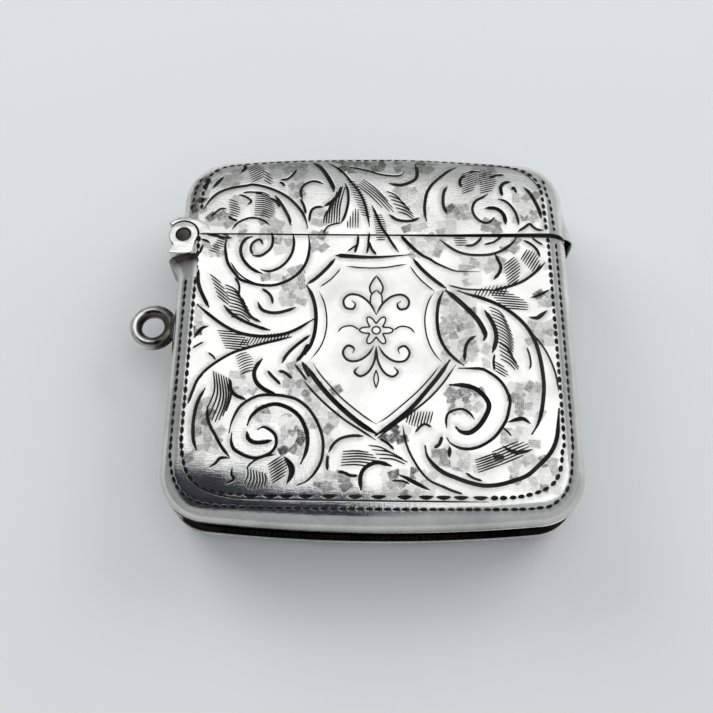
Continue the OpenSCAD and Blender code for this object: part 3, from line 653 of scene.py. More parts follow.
def outline(on_lid, count_side, count_end):
    """Points and outward normals where the roll starts, round from the left edge of the cut to
    the right one, in three runs: the left side, the bowed end and the right side. On each run a
    point is found by d, its distance along a straight, a corner or the bow."""
    sign = 1 if on_lid else -1
    arc_r, bow_r = CORNER_R - EDGE_R, BOW_R - EDGE_R
    side_x = HALF_W - EDGE_R
    cut = cut_line(np.array([-side_x, side_x]), on_lid)
    straight = {side: abs(sign * CORNER_Y - y) for side, y in zip((-1, 1), cut)}
    half_corner = arc_r * (math.pi / 2 - BOW_TURN) / 2
    bow = bow_r * BOW_TURN

    def on_straight(d, side):
        return (side * side_x, sign * (CORNER_Y - (straight[side] - d))), (side, 0)

    def on_corner(d, side):
        n = (side * math.cos(d / arc_r), sign * math.sin(d / arc_r))
        return (side * CORNER_X + arc_r * n[0], sign * CORNER_Y + arc_r * n[1]), n

    def on_bow(d, side):
        a = BOW_TURN - d / bow_r
        n = (side * math.sin(a), sign * math.cos(a))
        return (bow_r * n[0], sign * (HALF_H - BOW_R) + bow_r * n[1]), n

    def side_run(side):
        for d in np.linspace(0, straight[side] + half_corner, count_side + 1):
            past = d - straight[side]
            yield on_straight(d, side) if past < 0 else on_corner(past, side)

    def end_run():
        for d in np.linspace(0, 2 * (half_corner + bow), count_end + 1):
            side = 1 if d > half_corner + bow else -1
            d = min(d, 2 * (half_corner + bow) - d)
            past = d - half_corner
            yield on_corner(half_corner + d, side) if past < 0 else on_bow(past, side)

    return [[np.array(part) for part in zip(*run)] for run in (side_run(-1), end_run(), side_run(1))]


def coons(cut, end, left, right):
    """A patch filled in between four edges. The result's rows run from the cut to the end."""
    u = np.linspace(0, 1, len(cut))[None, :, None]
    v = np.linspace(0, 1, len(left))[:, None, None]
    between = (1 - v) * cut[None] + v * end[None] + (1 - u) * left[:, None] + u * right[:, None]
    corners = (1 - u) * (1 - v) * cut[0] + u * (1 - v) * cut[-1] + (1 - u) * v * end[0] + u * v * end[-1]
    return between - corners


def wall_foot(base, out, on_lid):
    """How high the side walls end: at the middle, or on the edge of the striker's slot."""
    beside = np.abs(base[:, 0] + out[:, 0] * EDGE_R)
    past = np.clip((beside - SLOT_HALF_LEN + SLOT_END) / SLOT_END, 0, 1)
    slot = MID + SLOT_HALF_W * np.sqrt(1 - past**2)
    on_base = (beside < SLOT_HALF_LEN) & (not on_lid) & (out[:, 1] < -0.05)
    return np.where(on_base, slot, MID)


def to_notch(xy, base, out, on_lid):
    """Stretches the two side runs of a ring, so that the left one ends at the hinge's notch."""
    fixed = CORNER_Y if on_lid else -CORNER_Y
    old = cut_line(base[:, 0], on_lid) - fixed
    new = notch_line(xy[:, 0], on_lid) - fixed
    on_side = np.abs(out[:, 0]) == 1
    y = np.where(on_side, fixed + (xy[:, 1] - fixed) * new / old, xy[:, 1])
    return np.stack([xy[:, 0], y], axis=1)


def strip(grid):
    a, b, c, d = grid[:-1, :-1], grid[1:, :-1], grid[1:, 1:], grid[:-1, 1:]
    return np.stack([a.ravel(), b.ravel(), c.ravel(), d.ravel()], axis=1)


def surface(on_lid, inset, step, rolls, walls):
    """One face of the case with its rolled edge and side walls, by inset inside the outside: the
    points, their normals, how far round the roll each is in radians (-1 on the flat), the quads,
    the row at the foot of the walls and the row along the mouth."""
    count_side = int((12 if on_lid else 32) / step)
    count_end = int(2 * (HALF_W - EDGE_R) / step)
    (left, left_n), (end, end_n), (right, right_n) = outline(on_lid, count_side, count_end)
    cut_x = np.linspace(left[0, 0], right[0, 0], count_end + 1)
    cut = np.stack([cut_x, cut_line(cut_x, on_lid)], axis=1)
    cut[0], cut[-1] = left[0], right[0]
    patch = coons(cut, end, left, right)
    total = patch.shape[0] * patch.shape[1]
    grid = np.arange(total).reshape(patch.shape[:2])
    points = [np.column_stack([patch.reshape(-1, 2), np.full(total, TOP - inset)])]
    normals = [np.tile([0.0, 0, 1], (total, 1))]
    angles = [np.full(total, -1.0)]
    columns = [np.concatenate([grid[:, 0], grid[-1, 1:], grid[::-1, -1][1:]])]
    base = np.concatenate([left, end[1:], right[::-1][1:]])
    out = np.concatenate([left_n, end_n[1:], right_n[::-1][1:]])
    count = len(base)
    r = EDGE_R - inset
    foot = wall_foot(base, out, on_lid)
    for k in range(1, rolls + walls + 1):
        a = math.pi / 2 * min(k / rolls, 1)
        down = max(k - rolls, 0) / walls
        xy = to_notch(base + out * (r * math.sin(a)), base, out, on_lid)
        z = (TOP - inset - r + r * math.cos(a)) * (1 - down) + foot * down
        points.append(np.column_stack([xy, z]))
        normals.append(np.column_stack([out * math.sin(a), np.full(count, math.cos(a))]))
        angles.append(np.full(count, a))
        columns.append(np.arange(total, total + count))
        total += count
    skirt = np.array(columns)
    quads = np.concatenate([strip(grid), strip(skirt)])
    mouth = np.concatenate([skirt[::-1, 0], grid[0, 1:-1], skirt[:, -1]])
    return np.concatenate(points), np.concatenate(normals), np.concatenate(angles), quads, skirt[-1], mouth


def zip_edges(points, one, two):
    """Triangles between two rows of points that run the same way but differ in number."""
    s, t = ((far / far[-1]) for far in (distances(points[one]), distances(points[two])))
    i = j = 0
    faces = []
    while i < len(one) - 1 or j < len(two) - 1:
        if j == len(two) - 1 or (i < len(one) - 1 and s[i + 1] <= t[j + 1]):
            faces.append((one[i], one[i + 1], two[j]))
            i += 1
        else:
            faces.append((one[i], two[j + 1], two[j]))
            j += 1
    return faces


def waves(x, y, seed):
    """The slow unevenness of hand-raised, long-polished sheet, about 1 either way."""
    chance = np.random.default_rng(seed)
    shortest, longest, usual_sum = 3, 11, 2.4
    total = np.zeros_like(x)
    for _ in range(14):
        size = chance.uniform(shortest, longest)
        turn = chance.uniform(0, math.pi)
        phase = chance.uniform(0, 2 * math.pi)
        across = x * math.cos(turn) + y * math.sin(turn)
        total += np.sin(2 * math.pi * across / size + phase) * size / longest
    return total / usual_sum


def drop(points, normals, angles, on_lid, front):
    """How far the face sags towards its rolled edges, so that the roll begins softly. It sags
    more at the ends than at the sides, and most at the front's worn lower left corner."""
    at_sides, at_end, at_corner = 0.05, 0.08 if on_lid else 0.2, 0.17
    x, y = points[:, 0], points[:, 1]
    up = y if on_lid else -y
    arc_r = CORNER_R - EDGE_R
    end_y = HALF_H - EDGE_R - x**2 / (2 * BOW_R)
    past_x = np.abs(x) - CORNER_X
    past_y = np.where(past_x < 0, arc_r - (end_y - up), up - CORNER_Y)
    in_corner = (past_x > 0) & (past_y > 0)
    off = np.hypot(np.maximum(past_x, 0), np.maximum(past_y, 0))
    outwards = np.where(in_corner, off, np.maximum(past_x, past_y)) - arc_r
    sideways = np.where(in_corner, past_x / np.maximum(off, 1e-6), past_x >= past_y)
    on_roll = angles >= 0
    level = np.hypot(normals[:, 0], normals[:, 1])
    sideways = np.where(on_roll, normals[:, 0] / np.maximum(level, 1e-6), sideways)
    past = np.where(on_roll, EDGE_R * angles, outwards) - 0.8
    bell = np.exp(-(past / np.where(past < 0, 1.9, 1.5))**2)
    worn = at_corner * np.exp(-((x + 18)**2 + (y + 19)**2) / 12) if front and not on_lid else 0
    return (at_sides * sideways**2 + at_end * (1 - sideways**2) + worn) * bell


def slot_lip(points, normals, angles):
    """Rolls the back's edge outwards along the striker slot: how far it stands out, and how far
    its round top rises into the slot."""
    stands_out, round_r, reach = 0.34, 0.26, 0.8
    beyond = np.clip((SLOT_HALF_LEN - np.abs(points[:, 0])) / 2.5, 0, 1) * (normals[:, 1] < -0.3)
    below = np.where(angles < 0, 9, EDGE_R * (math.pi / 2 - angles))
    wall_top = TOP - EDGE_R
    over = np.clip((wall_top - points[:, 2]) / (wall_top - MID - SLOT_HALF_W), 0, 1) * math.pi / 2
    over = np.where(below < 1e-6, over, 0)
    out = stands_out * np.exp(-(below / reach)**2) - round_r * (1 - np.cos(over))
    return beyond * out, beyond * round_r * np.sin(over)


def skin(name, node, body, field, front, material):
    """One shell: the engraved outside, the plain inside and the sheet's edges, as a closed mesh.
    A back is made as a front is, and then turned over."""
    on_lid = body == "lid"
    step = FRONT_STEP if front else BACK_STEP
    rolls = int(ROLL_LENGTH / step)
    points, normals, angles, quads, foot, mouth = surface(on_lid, 0, step, rolls, walls=8)
    x, y = points[:, 0] * (1 if front else -1), points[:, 1]
    # The engraving fades out down the roll.
    facing = np.clip((normals[:, 2] - 0.15) / 0.35, 0, 1)
    depth = field.sample(field.depth, x, y) * facing
    tarnish_and_painted_shade = field.sample(field.tarnish_and_painted_shade, x, y) * facing
    shade = field.sample(field.shade, x, y) * facing
    rise = PILLOW * (1 - (x / HALF_W)**2) * (1 - (y / HALF_H)**2) - LOW
    rise += WAVE * waves(x, y, 3 if front else 4) - depth - WEAR * shade
    rise -= drop(points, normals, angles, on_lid, front)
    rise[foot] = 0
    lift = 0
    if not front and not on_lid:
        out, lift = slot_lip(points, normals, angles)
        rise += out
    points = points + normals * rise[:, None]
    points[:, 2] -= lift
    inner = surface(on_lid, SHEET, INSIDE_STEP, rolls=8, walls=3)
    inner_points, _, _, inner_quads, inner_foot, inner_mouth = inner
    count = len(points)
    everything = np.concatenate([points, inner_points])
    joins = zip_edges(everything, foot, inner_foot + count)
    joins += zip_edges(everything, mouth, inner_mouth + count)
    if not front:
        everything[:, 2] = 2 * MID - everything[:, 2]
    mesh = mesh_of(name, everything, quads.tolist() + (inner_quads + count).tolist() + joins)
    # Painted shade on the side walls: deeper further round the roll, fainter where they face right.
    wall = WALL_PAINTED_SHADE * np.clip(angles / (math.pi / 2), 0, 1)**2 * np.clip(1 - 1.3 * normals[:, 0], 0, 1)
    clean = np.zeros(len(inner_points))
    # Tarnish in the cuts, and painted shadow along the seam.
    mark(mesh, "tarnish_and_painted_shade", np.concatenate([tarnish_and_painted_shade, clean]))
    mark(mesh, "shade", np.concatenate([np.maximum(shade, wall), clean]))
    piece = finish_mesh(name, mesh, material, 40)
    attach(piece, body)
    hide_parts(node)


# ---- meshes ----


def linked(name, data):
    piece = bpy.data.objects.new(name, data)
    bpy.context.scene.collection.objects.link(piece)
    return piece


def mesh_of(name, points, faces):
    """A mesh from points in millimetres."""
    mesh = bpy.data.meshes.new(name)
    mesh.from_pydata((np.array(points) * MM).tolist(), [], faces)
    return mesh


def mark(mesh, key, values):
    """Stores a number for each vertex, which the materials read by its key."""
    mesh.attributes.new(key, "FLOAT", "POINT").data.foreach_set("value", values)


def finish_mesh(name, mesh, material, sharp):
    """Turns the faces outwards, shades them smooth up to an angle, and makes the object."""
    work = bmesh.new()
    work.from_mesh(mesh)
    bmesh.ops.remove_doubles(work, verts=work.verts, dist=2e-7)
    bmesh.ops.recalc_face_normals(work, faces=work.faces)
    for face in work.faces:
        face.smooth = True
    for edge in work.edges:
        if len(edge.link_faces) == 2 and edge.calc_face_angle(0) > math.radians(sharp):
            edge.smooth = False
    work.to_mesh(mesh)
    work.free()
    mesh.materials.clear()
    mesh.materials.append(material)
    return linked(name, mesh)


def baked(piece, name, material, sharp):
    """The mesh of a curve or of an object with modifiers, as a new object."""
    bpy.context.view_layer.update()
    shaped = piece.evaluated_get(bpy.context.evaluated_depsgraph_get())
    mesh = bpy.data.meshes.new_from_object(shaped)
    mesh.transform(piece.matrix_world)
    bpy.data.objects.remove(piece)
    return finish_mesh(name, mesh, material, sharp)


def plate(name, loops, low, high, bevel, material):
    """A plate between two heights with rounded edges, from outlines about the pin's centre."""
    curve = bpy.data.curves.new(name + "_outline", "CURVE")
    curve.dimensions = "2D"
    curve.fill_mode = "BOTH"
    curve.extrude = ((high - low) / 2 - bevel) * MM
    curve.bevel_depth = bevel * MM
    curve.bevel_resolution = 4
    curve.offset = -bevel * MM
    for loop in loops:
        spline = curve.splines.new("POLY")
        spline.points.add(len(loop) - 1)
        for point, (x, y) in zip(spline.points, loop):
            point.co = ((PIN[0] + x) * MM, (PIN[1] + y) * MM, 0, 1)
        spline.use_cyclic_u = True
    piece = linked(name + "_outline", curve)
    piece.location = (0, 0, (low + high) / 2 * MM)
    return baked(piece, name, material, 35)


def arc(radius, start, end, steps):
    turn = np.radians(np.linspace(start, end, steps + 1))
    return [(radius * math.cos(a), radius * math.sin(a)) for a in turn]


def tube_faces(rows, columns, capped=True):
    """Quads round a tube whose rows of points are closed rings. Its ends are capped, or else its
    last row meets its first."""
    index = np.arange(rows * columns).reshape(rows, columns)
    caps = [index[0].tolist(), index[-1][::-1].tolist()] if capped else []
    if not capped:
        index = np.vstack([index, index[:1]])
    return strip(np.column_stack([index, index[:, :1]])).tolist() + caps


# ---- the fittings ----


def paint_gap_shade(piece, near, far):
    """Blackens the walls between two distances from the hinge pin: painted shadow in the gaps between the
    hinge's parts.
    """
    places = [vertex.co / MM for vertex in piece.data.vertices]
    off = [math.hypot(place.x - PIN[0], place.y - PIN[1]) for place in places]
    mark(piece.data, "tarnish_and_painted_shade", [float(near < distance < far) for distance in off])


def cheek(name, node, low, high, material):
    """A plate round the pin. Its foot leaves room for the hood to swing past."""
    head = arc(CHEEK_R + .02, -10, 230, 72)
    foot = [(-1.26, -1.7), (-1.48, -2), (-1.58, -2.16), (-1.58, -2.32), (-1.36, -2.47), (-.3, -2.54),
            (.4, -2.52), (.95, -2.4), (1.2, -2.1), (1.3, -1.4), (1.45, -.9)]
    hole = arc(PIN_R + .035, 0, 360, 64)[:-1]
    piece = plate(name, [head + foot, hole], low, high, .09, material)
    paint_gap_shade(piece, CHEEK_R - .03, CHEEK_R + .06)
    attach(piece, "body")
    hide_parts(node)


def side_section():
    """Points (out, z) down the rolled side, from the face to the back. Out is 0 where the roll
    starts and 1 on the wall."""
    roll, steps = .3, 40
    for t in np.arange(steps + 1) / steps:
        if roll <= t <= 1 - roll:
            yield 1, TOP - EDGE_R - (t - roll) / (1 - 2 * roll) * (TOP - 2 * EDGE_R)
        else:
            a = min(t, 1 - t) / roll * math.pi / 2
            z = EDGE_R * (1 - math.cos(a))
            yield math.sin(a), TOP - z if t < roll else z


def side_flare(name, side, stations, power, half_z, sink, body, material, marks):
    """A swelling of the rolled side wall: at each station (y, reach) it stands out by reach, and
    fades over half_z up and down, to edges that lie sink deep in the wall. marks says how much
    painted shade each station gets."""
    root_x, root_z = side * (HALF_W - 1.2), 1.2
    rows = []
    for y, reach in stations:
        row = []
        for out, z in side_section():
            fade = 1 - min(abs(z - MID) / half_z, 1)**power
            x = HALF_W - EDGE_R + out * EDGE_R + reach * fade * out - sink * (1 - fade)
            row.append((side * x, y, MID + (z - MID) * (1 - .2 * sink * (1 - fade))))
        rows.append(row + [(root_x, y, root_z), (root_x, y, TOP - root_z)])
    grid = np.array(rows)
    mesh = mesh_of(name, grid.reshape(-1, 3), tube_faces(*grid.shape[:2]))
    mark(mesh, "tarnish_and_painted_shade", np.repeat(marks, grid.shape[1]))
    piece = finish_mesh(name, mesh, material, 40)
    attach(piece, body)
    return piece


def bearer(material):
    """The seat under the cheeks, which sweeps down into the side of the case."""
    seat = [(-1.48, -2.03), (-1.58, -2.2), (-1.45, -2.56), (1.1, -2.56), (1.1, -1.9), (-.2, -1.82)]
    between = plate("hinge_seat", [seat], 2.05, 6.95, .1, material)
    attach(between, "body")
    sweep = [(PIN[1] - 2.5 - 3.0 * t, 1.28 * (1 - t)**2.1 - .16 * t) for t in np.linspace(0, 1, 22)]
    stations = [(PIN[1] - 2.42, 1.1)] + sweep
    # Painted shade under the hinge block, fading down the sweep.
    marks = [math.exp(-max(k - 6, 0) / 10) for k in range(len(stations))]
    skirt = side_flare("hinge_flare", -1, stations, 8, 4.6, .12, "body", material, marks)
    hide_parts("hinge_bearer")


def hood(material):
    """The lid's cover, which rolls round the cheeks and runs into the face on its right."""
    inner = arc(HOOD_IN + .03, 2, 140, 60)
    outer = arc(HOOD_OUT - .04, 140, 62, 50)
    merge = [(1.55, 2.08), (2.1, 1.78), (2.6, 1.45), (2.95, 1.0), (3.1, .6), (3.1, .24)]
    piece = plate("hinge_cover", [inner + outer + merge], .04, TOP - .03, .12, material)
    paint_gap_shade(piece, HOOD_IN - .05, HOOD_IN + .09)
    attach(piece, "lid")
    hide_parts("hinge_hood")


def pin(material):
    """A turned pin with rounded ends. The front one is a little uneven, as if hammered."""
    steps = 72
    front, back = TOP - .02, .02
    profile = [(.12, back), (.5, back + .02), (.74, back + .1), (PIN_R, back + .24),
               (PIN_R, front - .24), (.76, front - .1), (.6, front - .05), (.42, front - .06),
               (.2, front - .02), (.05, front - .03)]
    turn = 2 * math.pi * np.arange(steps) / steps
    points = [(PIN[0] + r * math.cos(a), PIN[1] + r * math.sin(a), z) for r, z in profile for a in turn]
    piece = finish_mesh("pin", mesh_of("pin", points, tube_faces(len(profile), steps)), material, 50)
    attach(piece, "body")
    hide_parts("hinge_pin")


def fused(name, parts, voxel, material):
    """Several closed meshes made into one soft-cornered skin."""
    mesh = bpy.data.meshes.new(name)
    work = bmesh.new()
    for part in parts:
        work.from_mesh(part)
    work.to_mesh(mesh)
    work.free()
    piece = linked(name + "_rough", mesh)
    remesh = piece.modifiers.new("remesh", "REMESH")
    remesh.mode = "VOXEL"
    remesh.voxel_size = voxel * MM
    smooth = piece.modifiers.new("smooth", "SMOOTH")
    smooth.factor = 0.5
    smooth.iterations = 9
    return baked(piece, name, material, 80)


def torus(centre, major, minor, wave):
    """A round ring whose wire is worn a little unevenly."""
    points = []
    steps, rounds = 120, 40
    for a in 2 * math.pi * np.arange(steps) / steps:
        r = minor * (1 + wave * math.sin(2 * a + .6) + .6 * wave * math.sin(5 * a))
        for b in 2 * math.pi * np.arange(rounds) / rounds:
            d = major + r * math.cos(b)
            points.append(centre + np.array([d * math.cos(a), d * math.sin(a), r * math.sin(b)]))
    return mesh_of("torus", points, tube_faces(steps, rounds, capped=False))


def blob(centre, size, power):
    """A rounded block, from a ball whose sides are pressed flat by the power."""
    work = bmesh.new()
    bmesh.ops.create_icosphere(work, subdivisions=4, radius=1)
    for vertex in work.verts:
        p = np.array(vertex.co)
        p = np.sign(p) * np.abs(p)**power
        vertex.co = Vector((np.array(centre) + p * np.array(size)) * MM)
    mesh = bpy.data.meshes.new("blob")
    work.to_mesh(mesh)
    work.free()
    return mesh


def stained_and_shaded(piece, centre, major, joint_x):
    """Marks where solder has darkened the ring by its joint, and paints shade inside its hole
    and underneath."""
    values = []
    for vertex in piece.data.vertices:
        x, y, z = (c / MM for c in vertex.co)
        joint = math.exp(-max(joint_x - 2.1 - x, 0) / .8)
        off = math.hypot(x - centre[0], y - centre[1])
        # Painted shade inside the hole and underneath; the joint's darkening is solder.
        inner = min(max((major - .1 - off) / .25, 0), 1)
        low = min(max((centre[2] - .05 - z) / .35, 0), 1)
        values.append(min(1.2 * joint + inner + .7 * low, 1))
    mark(piece.data, "tarnish_and_painted_shade", values)


def ring(material):
    """The chain ring, with its solder and its foot on the side of the case."""
    minor = (ring_high[2] - ring_low[2]) / 2
    major = (ring_high[1] - ring_low[1]) / 2 - minor
    centre = (ring_low + ring_high) / 2
    parts = [
        torus(centre, major, minor + .1, .025),
        blob((-HALF_W - .15, centre[1], centre[2]), (.8, 1.6, 1.0), .85),
        blob((-HALF_W + .05, centre[1], centre[2]), (.42, 2.1, 1.3), .85),
    ]
    piece = fused("watch_chain_ring", parts, .07, material)
    stained_and_shaded(piece, centre, major, -HALF_W)
    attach(piece, "body")
    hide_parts("chain_ring", "ring_foot")


def lip(material):
    """The thumb lip, a swelling of the lid's free side that flares out towards the mouth, with
    a hollow end."""
    reach, base = lip_high[0] - HALF_W, lip_low[1]
    hollow = [(base + 1.5, reach - .9), (base + .9, reach - .55), (base + .1, reach - .3),
              (base, reach - .16), (base + .04, reach - .03)]
    sweep = [(base + 5.6 * t, reach * (1 - t)**1.3 - .14 * t) for t in np.linspace(.02, 1, 26)]
    # Painted shade in the lip's hollow end.
    marks = [1, 1, 1, .4, 0] + [0] * len(sweep)
    piece = side_flare("thumb_lip", 1, hollow + sweep, 4, 3.6, .34, "lid", material, marks)
    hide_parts("thumb_piece")


# ---- materials ----


class Nodes:
    """Adds nodes to a tree. An input is given as a plain value or as another node's output."""

    def __init__(self, tree):
        self.tree = tree

    def feed(self, node, inputs):
        for key, value in inputs.items():
            if isinstance(value, bpy.types.NodeSocket):
                self.tree.links.new(value, node.inputs[key])
            else:
                node.inputs[key].default_value = value

    def add(self, kind, inputs, output=0):
        node = self.tree.nodes.new("ShaderNode" + kind)
        self.feed(node, inputs)
        return node.outputs[output]

    def place(self, scale):
        """Object coordinates, stretched by scale."""
        return self.add("Mapping", {"Vector": self.add("TexCoord", {}, "Object"), "Scale": scale})

    def noise(self, vector, scale, detail, rough=0.55):
        size = {"Scale": scale, "Detail": detail, "Roughness": rough}
        return self.add("TexNoise", {"Vector": vector, **size})

    def spread(self, value, low, high, to_low, to_high):
        """Moves a value from one range into another, and holds it there."""
        ends = {"From Min": low, "From Max": high, "To Min": to_low, "To Max": to_high}
        return self.add("MapRange", {"Value": value, **ends})

    def maths(self, operation, a, b):
        node = self.tree.nodes.new("ShaderNodeMath")
        node.operation = operation
        self.feed(node, {0: a, 1: b})
        return node.outputs[0]

    def plus(self, a, b):
        return self.maths("ADD", a, b)

    def times(self, a, b):
        return self.maths("MULTIPLY", a, b)

    def blend(self, amount, a, b):
        """A colour between a and b; 6, 7 and output 2 are the node's colour sockets."""
        node = self.tree.nodes.new("ShaderNodeMix")
        node.data_type = "RGBA"
        self.feed(node, {"Factor": amount, 6: a, 7: b})
        return node.outputs[2]

    def marks(self, key):
        """The numbers that mark() stored under this key."""
        node = self.tree.nodes.new("ShaderNodeAttribute")
        node.attribute_name = key
        return node.outputs["Fac"]

    def bump(self, height, distance, strength):
        return self.add("Bump", {"Height": height, "Distance": distance, "Strength": strength})


def new_material(name):
    material = bpy.data.materials.new(name)
    material.use_nodes = True
    return material, Nodes(material.node_tree), material.node_tree.nodes["Principled BSDF"]


def engraved_silver():
    """Worn bright silver, black in the cuts and in the seam's painted shadow, grey on the dull
    ground, and grey with painted shade beside the cuts and on the side walls.
    """
    material, nodes, shader = new_material("engraved_silver")
    even = nodes.place((1, 1, 1))
    scratches_x = nodes.noise(nodes.place((1, 9, 1)), 900, 3)
    scratches_y = nodes.noise(nodes.place((8, 1, 1)), 700, 3)
    cloud = nodes.noise(even, 140, 5)
    speckle = nodes.noise(even, 2600, 2)
    cut = nodes.spread(nodes.marks("tarnish_and_painted_shade"), .4, .6, 0, 1)
    shade = nodes.marks("shade")
    dark = nodes.times(cut, nodes.spread(cloud, .25, .55, .94, 1))
    grey = nodes.times(shade, nodes.spread(speckle, .3, .7, .75, 1.25))
    bright = nodes.blend(nodes.spread(cloud, .3, .7, 0, 1), (.6, .595, .575, 1), (.95, .945, .93, 1))
    # The grey also carries painted shade beside the cuts and on the side walls.
    dulled_and_shaded = nodes.blend(grey, bright, (.055, .052, .042, 1))
    rough = nodes.plus(nodes.spread(scratches_x, .35, .75, .07, .15), nodes.spread(cloud, .3, .7, 0, .07))
    rough = nodes.plus(rough, nodes.times(grey, .2))
    height = nodes.plus(nodes.plus(scratches_x, scratches_y), nodes.times(shade, speckle))
    nodes.feed(shader, {
        "Base Color": nodes.blend(dark, dulled_and_shaded, (.006, .006, .007, 1)),
        "Roughness": nodes.plus(rough, nodes.times(dark, .25)),
        "Metallic": nodes.maths("SUBTRACT", 1.0, nodes.times(dark, .3)),
        "Normal": nodes.bump(height, .000012, .55),
    })
    return material


def plain_silver(name, base, worn, roughness, stain_and_shade, stain_amount):
    """Silver with fine scratches, stains that gather in patches, and dark where it is marked:
    painted shade in gaps, hollows and under parts, and the ring's solder.
    """
    material, nodes, shader = new_material(name)
    even = nodes.place((1, 1, 1))
    cloud = nodes.noise(even, 260, 5)
    broad = nodes.noise(even, 620, 4)
    scratches = nodes.noise(nodes.place((1, 7, 2)), 1300, 3)
    bright = nodes.blend(nodes.spread(cloud, .35, .65, 0, 1), base, worn)
    # The marks are painted shade, except the ring's solder.
    marked = nodes.times(nodes.marks("tarnish_and_painted_shade"), nodes.spread(cloud, .3, .6, .7, 1))
    marked = nodes.maths("MAXIMUM", marked, nodes.spread(broad, .52, .72, 0, stain_amount))
    nodes.feed(shader, {
        "Base Color": nodes.blend(marked, bright, stain_and_shade),
        "Roughness": nodes.spread(scratches, .3, .75, roughness, roughness + .14),
        "Metallic": 1.0,
        "Normal": nodes.bump(nodes.plus(scratches, cloud), .00002, .5),
    })
    return material


def dark_steel(name, base, worn, roughness):
    """Steel with an open grain, its tone slightly uneven."""
    material, nodes, shader = new_material(name)
    even = nodes.place((1, 1, 1))
    grain = nodes.noise(even, 2200, 6, .7)
    cloud = nodes.noise(even, 500, 4)
    nodes.feed(shader, {
        "Base Color": nodes.blend(nodes.spread(cloud, .35, .7, 0, 1), base, worn),
        "Roughness": nodes.spread(grain, .3, .7, roughness, roughness + .25),
        "Metallic": .9,
        "Normal": nodes.bump(nodes.plus(grain, cloud), .00006, .8),
    })
    return material


def pale_paper():
    material, nodes, shader = new_material("pale_paper")
    even = nodes.place((1, 1, 1))
    nodes.feed(shader, {
        "Base Color": nodes.blend(nodes.noise(even, 9, 3), (.70, .715, .71, 1), (.735, .745, .74, 1)),
        "Roughness": .75,
        "Normal": nodes.bump(nodes.noise(even, 1500, 4), .00003, .25),
    })
    return material


def dark_card():
    material, nodes, shader = new_material("dark_card")
    nodes.feed(shader, {"Base Color": (.012, .02, .035, 1), "Roughness": 1})
    return material


# ---- the stage, in metres ----


def sheet_of(name, corners, height, material):
    """A flat level sheet, facing up if its corners run anticlockwise."""
    mesh = bpy.data.meshes.new(name)
    mesh.from_pydata([(x, y, height) for x, y in corners], [], [range(len(corners))])
    mesh.materials.append(material)
    return linked(name, mesh)


def floor():
    half, height = 3.0, -.00002
    corners = [(-half, -half), (half, -half), (half, half), (-half, half)]
    piece = sheet_of("floor", corners, height, pale_paper())


def flag():
    """A dark L-shaped card above the case, seen only in reflections, as the person taking the
    picture is."""
    corners = [(-.2, .047), (-.03, .047), (-.03, .01), (.012, .01), (.012, -.2), (-.2, -.2)]
    piece = sheet_of("flag", corners, .24, dark_card())
    piece.visible_camera = False
    piece.visible_diffuse = False
    piece.visible_shadow = False


def area_light(name, location, target, size, power):
    data = bpy.data.lights.new(name, "AREA")
    data.shape = "RECTANGLE"
    data.size, data.size_y = size
    data.energy = power
    light = linked(name, data)
    light.location = location
    light.rotation_euler = (Vector(target) - Vector(location)).to_track_quat("-Z", "Y").to_euler()
    return light


def lights():
    """A softbox overhead, two more lights that aren't seen in the silver, and a pale room that
    is brighter on the right."""
    area_light("softbox", (0, .125, .5), (0, .125, 0), (.5, .46), .6)
    for name, location, power in (("window", (-.5, .55, .35), 3.2), ("fill", (.55, .5, .4), 2.6)):
        light = area_light(name, location, (0, 0, 0), (.5, .4), power)
        light.visible_glossy = False
    world = bpy.data.worlds.new("room")
    bpy.context.scene.world = world
    world.use_nodes = True
    nodes = Nodes(world.node_tree)
    across = nodes.add("SeparateXYZ", {"Vector": nodes.add("TexCoord", {}, "Generated")}, "X")
    strength = nodes.spread(across, -1, 1, .36, .6)
    nodes.feed(world.node_tree.nodes["Background"], {"Color": (.95, .98, 1, 1), "Strength": strength})
    bpy.context.scene.view_settings.view_transform = "Standard"


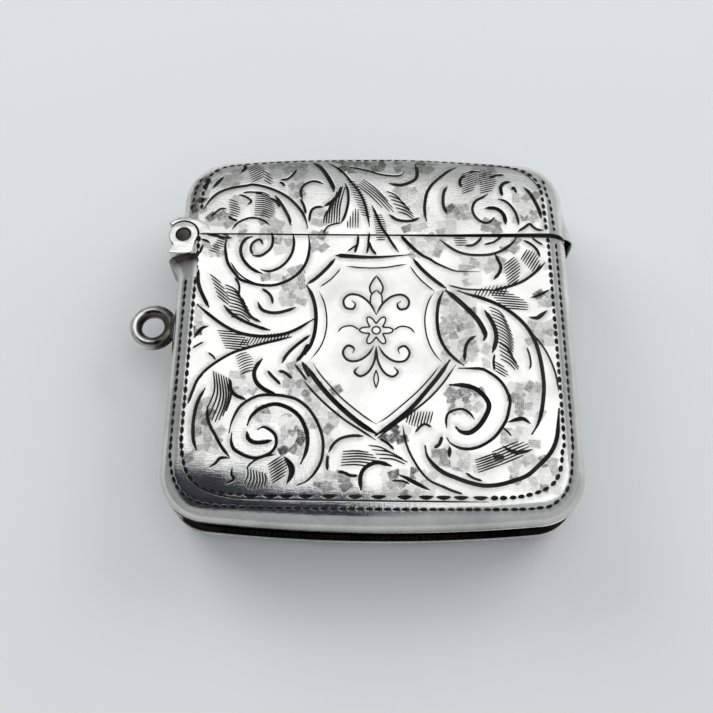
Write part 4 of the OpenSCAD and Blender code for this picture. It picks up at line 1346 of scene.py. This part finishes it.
def camera():
    """Looks down at the case from in front, 67 degrees above its face."""
    tilt, turn, distance = math.radians(67), math.radians(.57), .1005
    target = Vector((-1.8, -4.1, TOP)) * MM
    forward = Vector((-math.sin(turn) * math.cos(tilt), math.cos(turn) * math.cos(tilt), -math.sin(tilt)))
    right = Vector((math.cos(turn), math.sin(turn), 0))
    axes = Matrix((right, right.cross(forward), -forward)).transposed()
    data = bpy.data.cameras.new("camera")
    data.lens = 46.45
    data.sensor_width = 36
    data.clip_start = .005
    data.clip_end = 10
    eye = linked("camera", data)
    eye.matrix_world = Matrix.Translation(target - forward * distance) @ axes.to_4x4()
    bpy.context.scene.camera = eye


def build():
    engraved = engraved_silver()
    fittings = plain_silver("worn_silver", (.76, .755, .735, 1), (.9, .895, .88, 1), .14,
                            (.03, .026, .02, 1), .22)
    ring_silver = plain_silver("ring_silver", (.72, .71, .69, 1), (.88, .87, .85, 1), .12,
                               (.03, .023, .012, 1), .5)
    # The bezel and cam are painted nearly black: shade deep inside the case.
    inside = plain_silver("inside_silver_painted_shade", (.06, .055, .045, 1), (.16, .15, .13, 1), .35,
                          (.02, .017, .012, 1), .7)
    # The striker is painted nearly black: shade in its slot.
    painted_shade_recess = plain_silver("recess_silver_painted_shade", (.012, .011, .01, 1), (.035, .032, .028, 1), .5,
                          (.006, .005, .004, 1), .7)
    pin_steel = dark_steel("pin_steel", (.05, .048, .045, 1), (.17, .165, .155, 1), .42)
    spring_steel = dark_steel("spring_steel", (.25, .25, .26, 1), (.36, .35, .34, 1), .28)
    front, back = front_field(), back_field()
    skin("body_front", "body_front_shell", "body", front, True, engraved)
    skin("lid_front", "lid_front_shell", "lid", front, True, engraved)
    skin("body_back", "body_back_shell", "body", back, False, engraved)
    skin("lid_back", "lid_back_shell", "lid", back, False, engraved)
    cheek("cheek_front", "hinge_cheek_front", 7.0, TOP + .03, fittings)
    cheek("cheek_back", "hinge_cheek_back", .02, 2.0, fittings)
    bearer(fittings)
    hood(fittings)
    pin(pin_steel)
    ring(ring_silver)
    lip(fittings)
    # These nodes keep the shape that the CAD gave them.
    for node, material in (("striker_plate", painted_shade_recess), ("mouth_bezel", inside), ("hinge_cam", inside),
                           ("leaf_spring", spring_steel), ("spring_rivets", spring_steel)):
        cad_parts[node].material_slots[0].material = material


camera()
floor()
flag()
lights()
build()
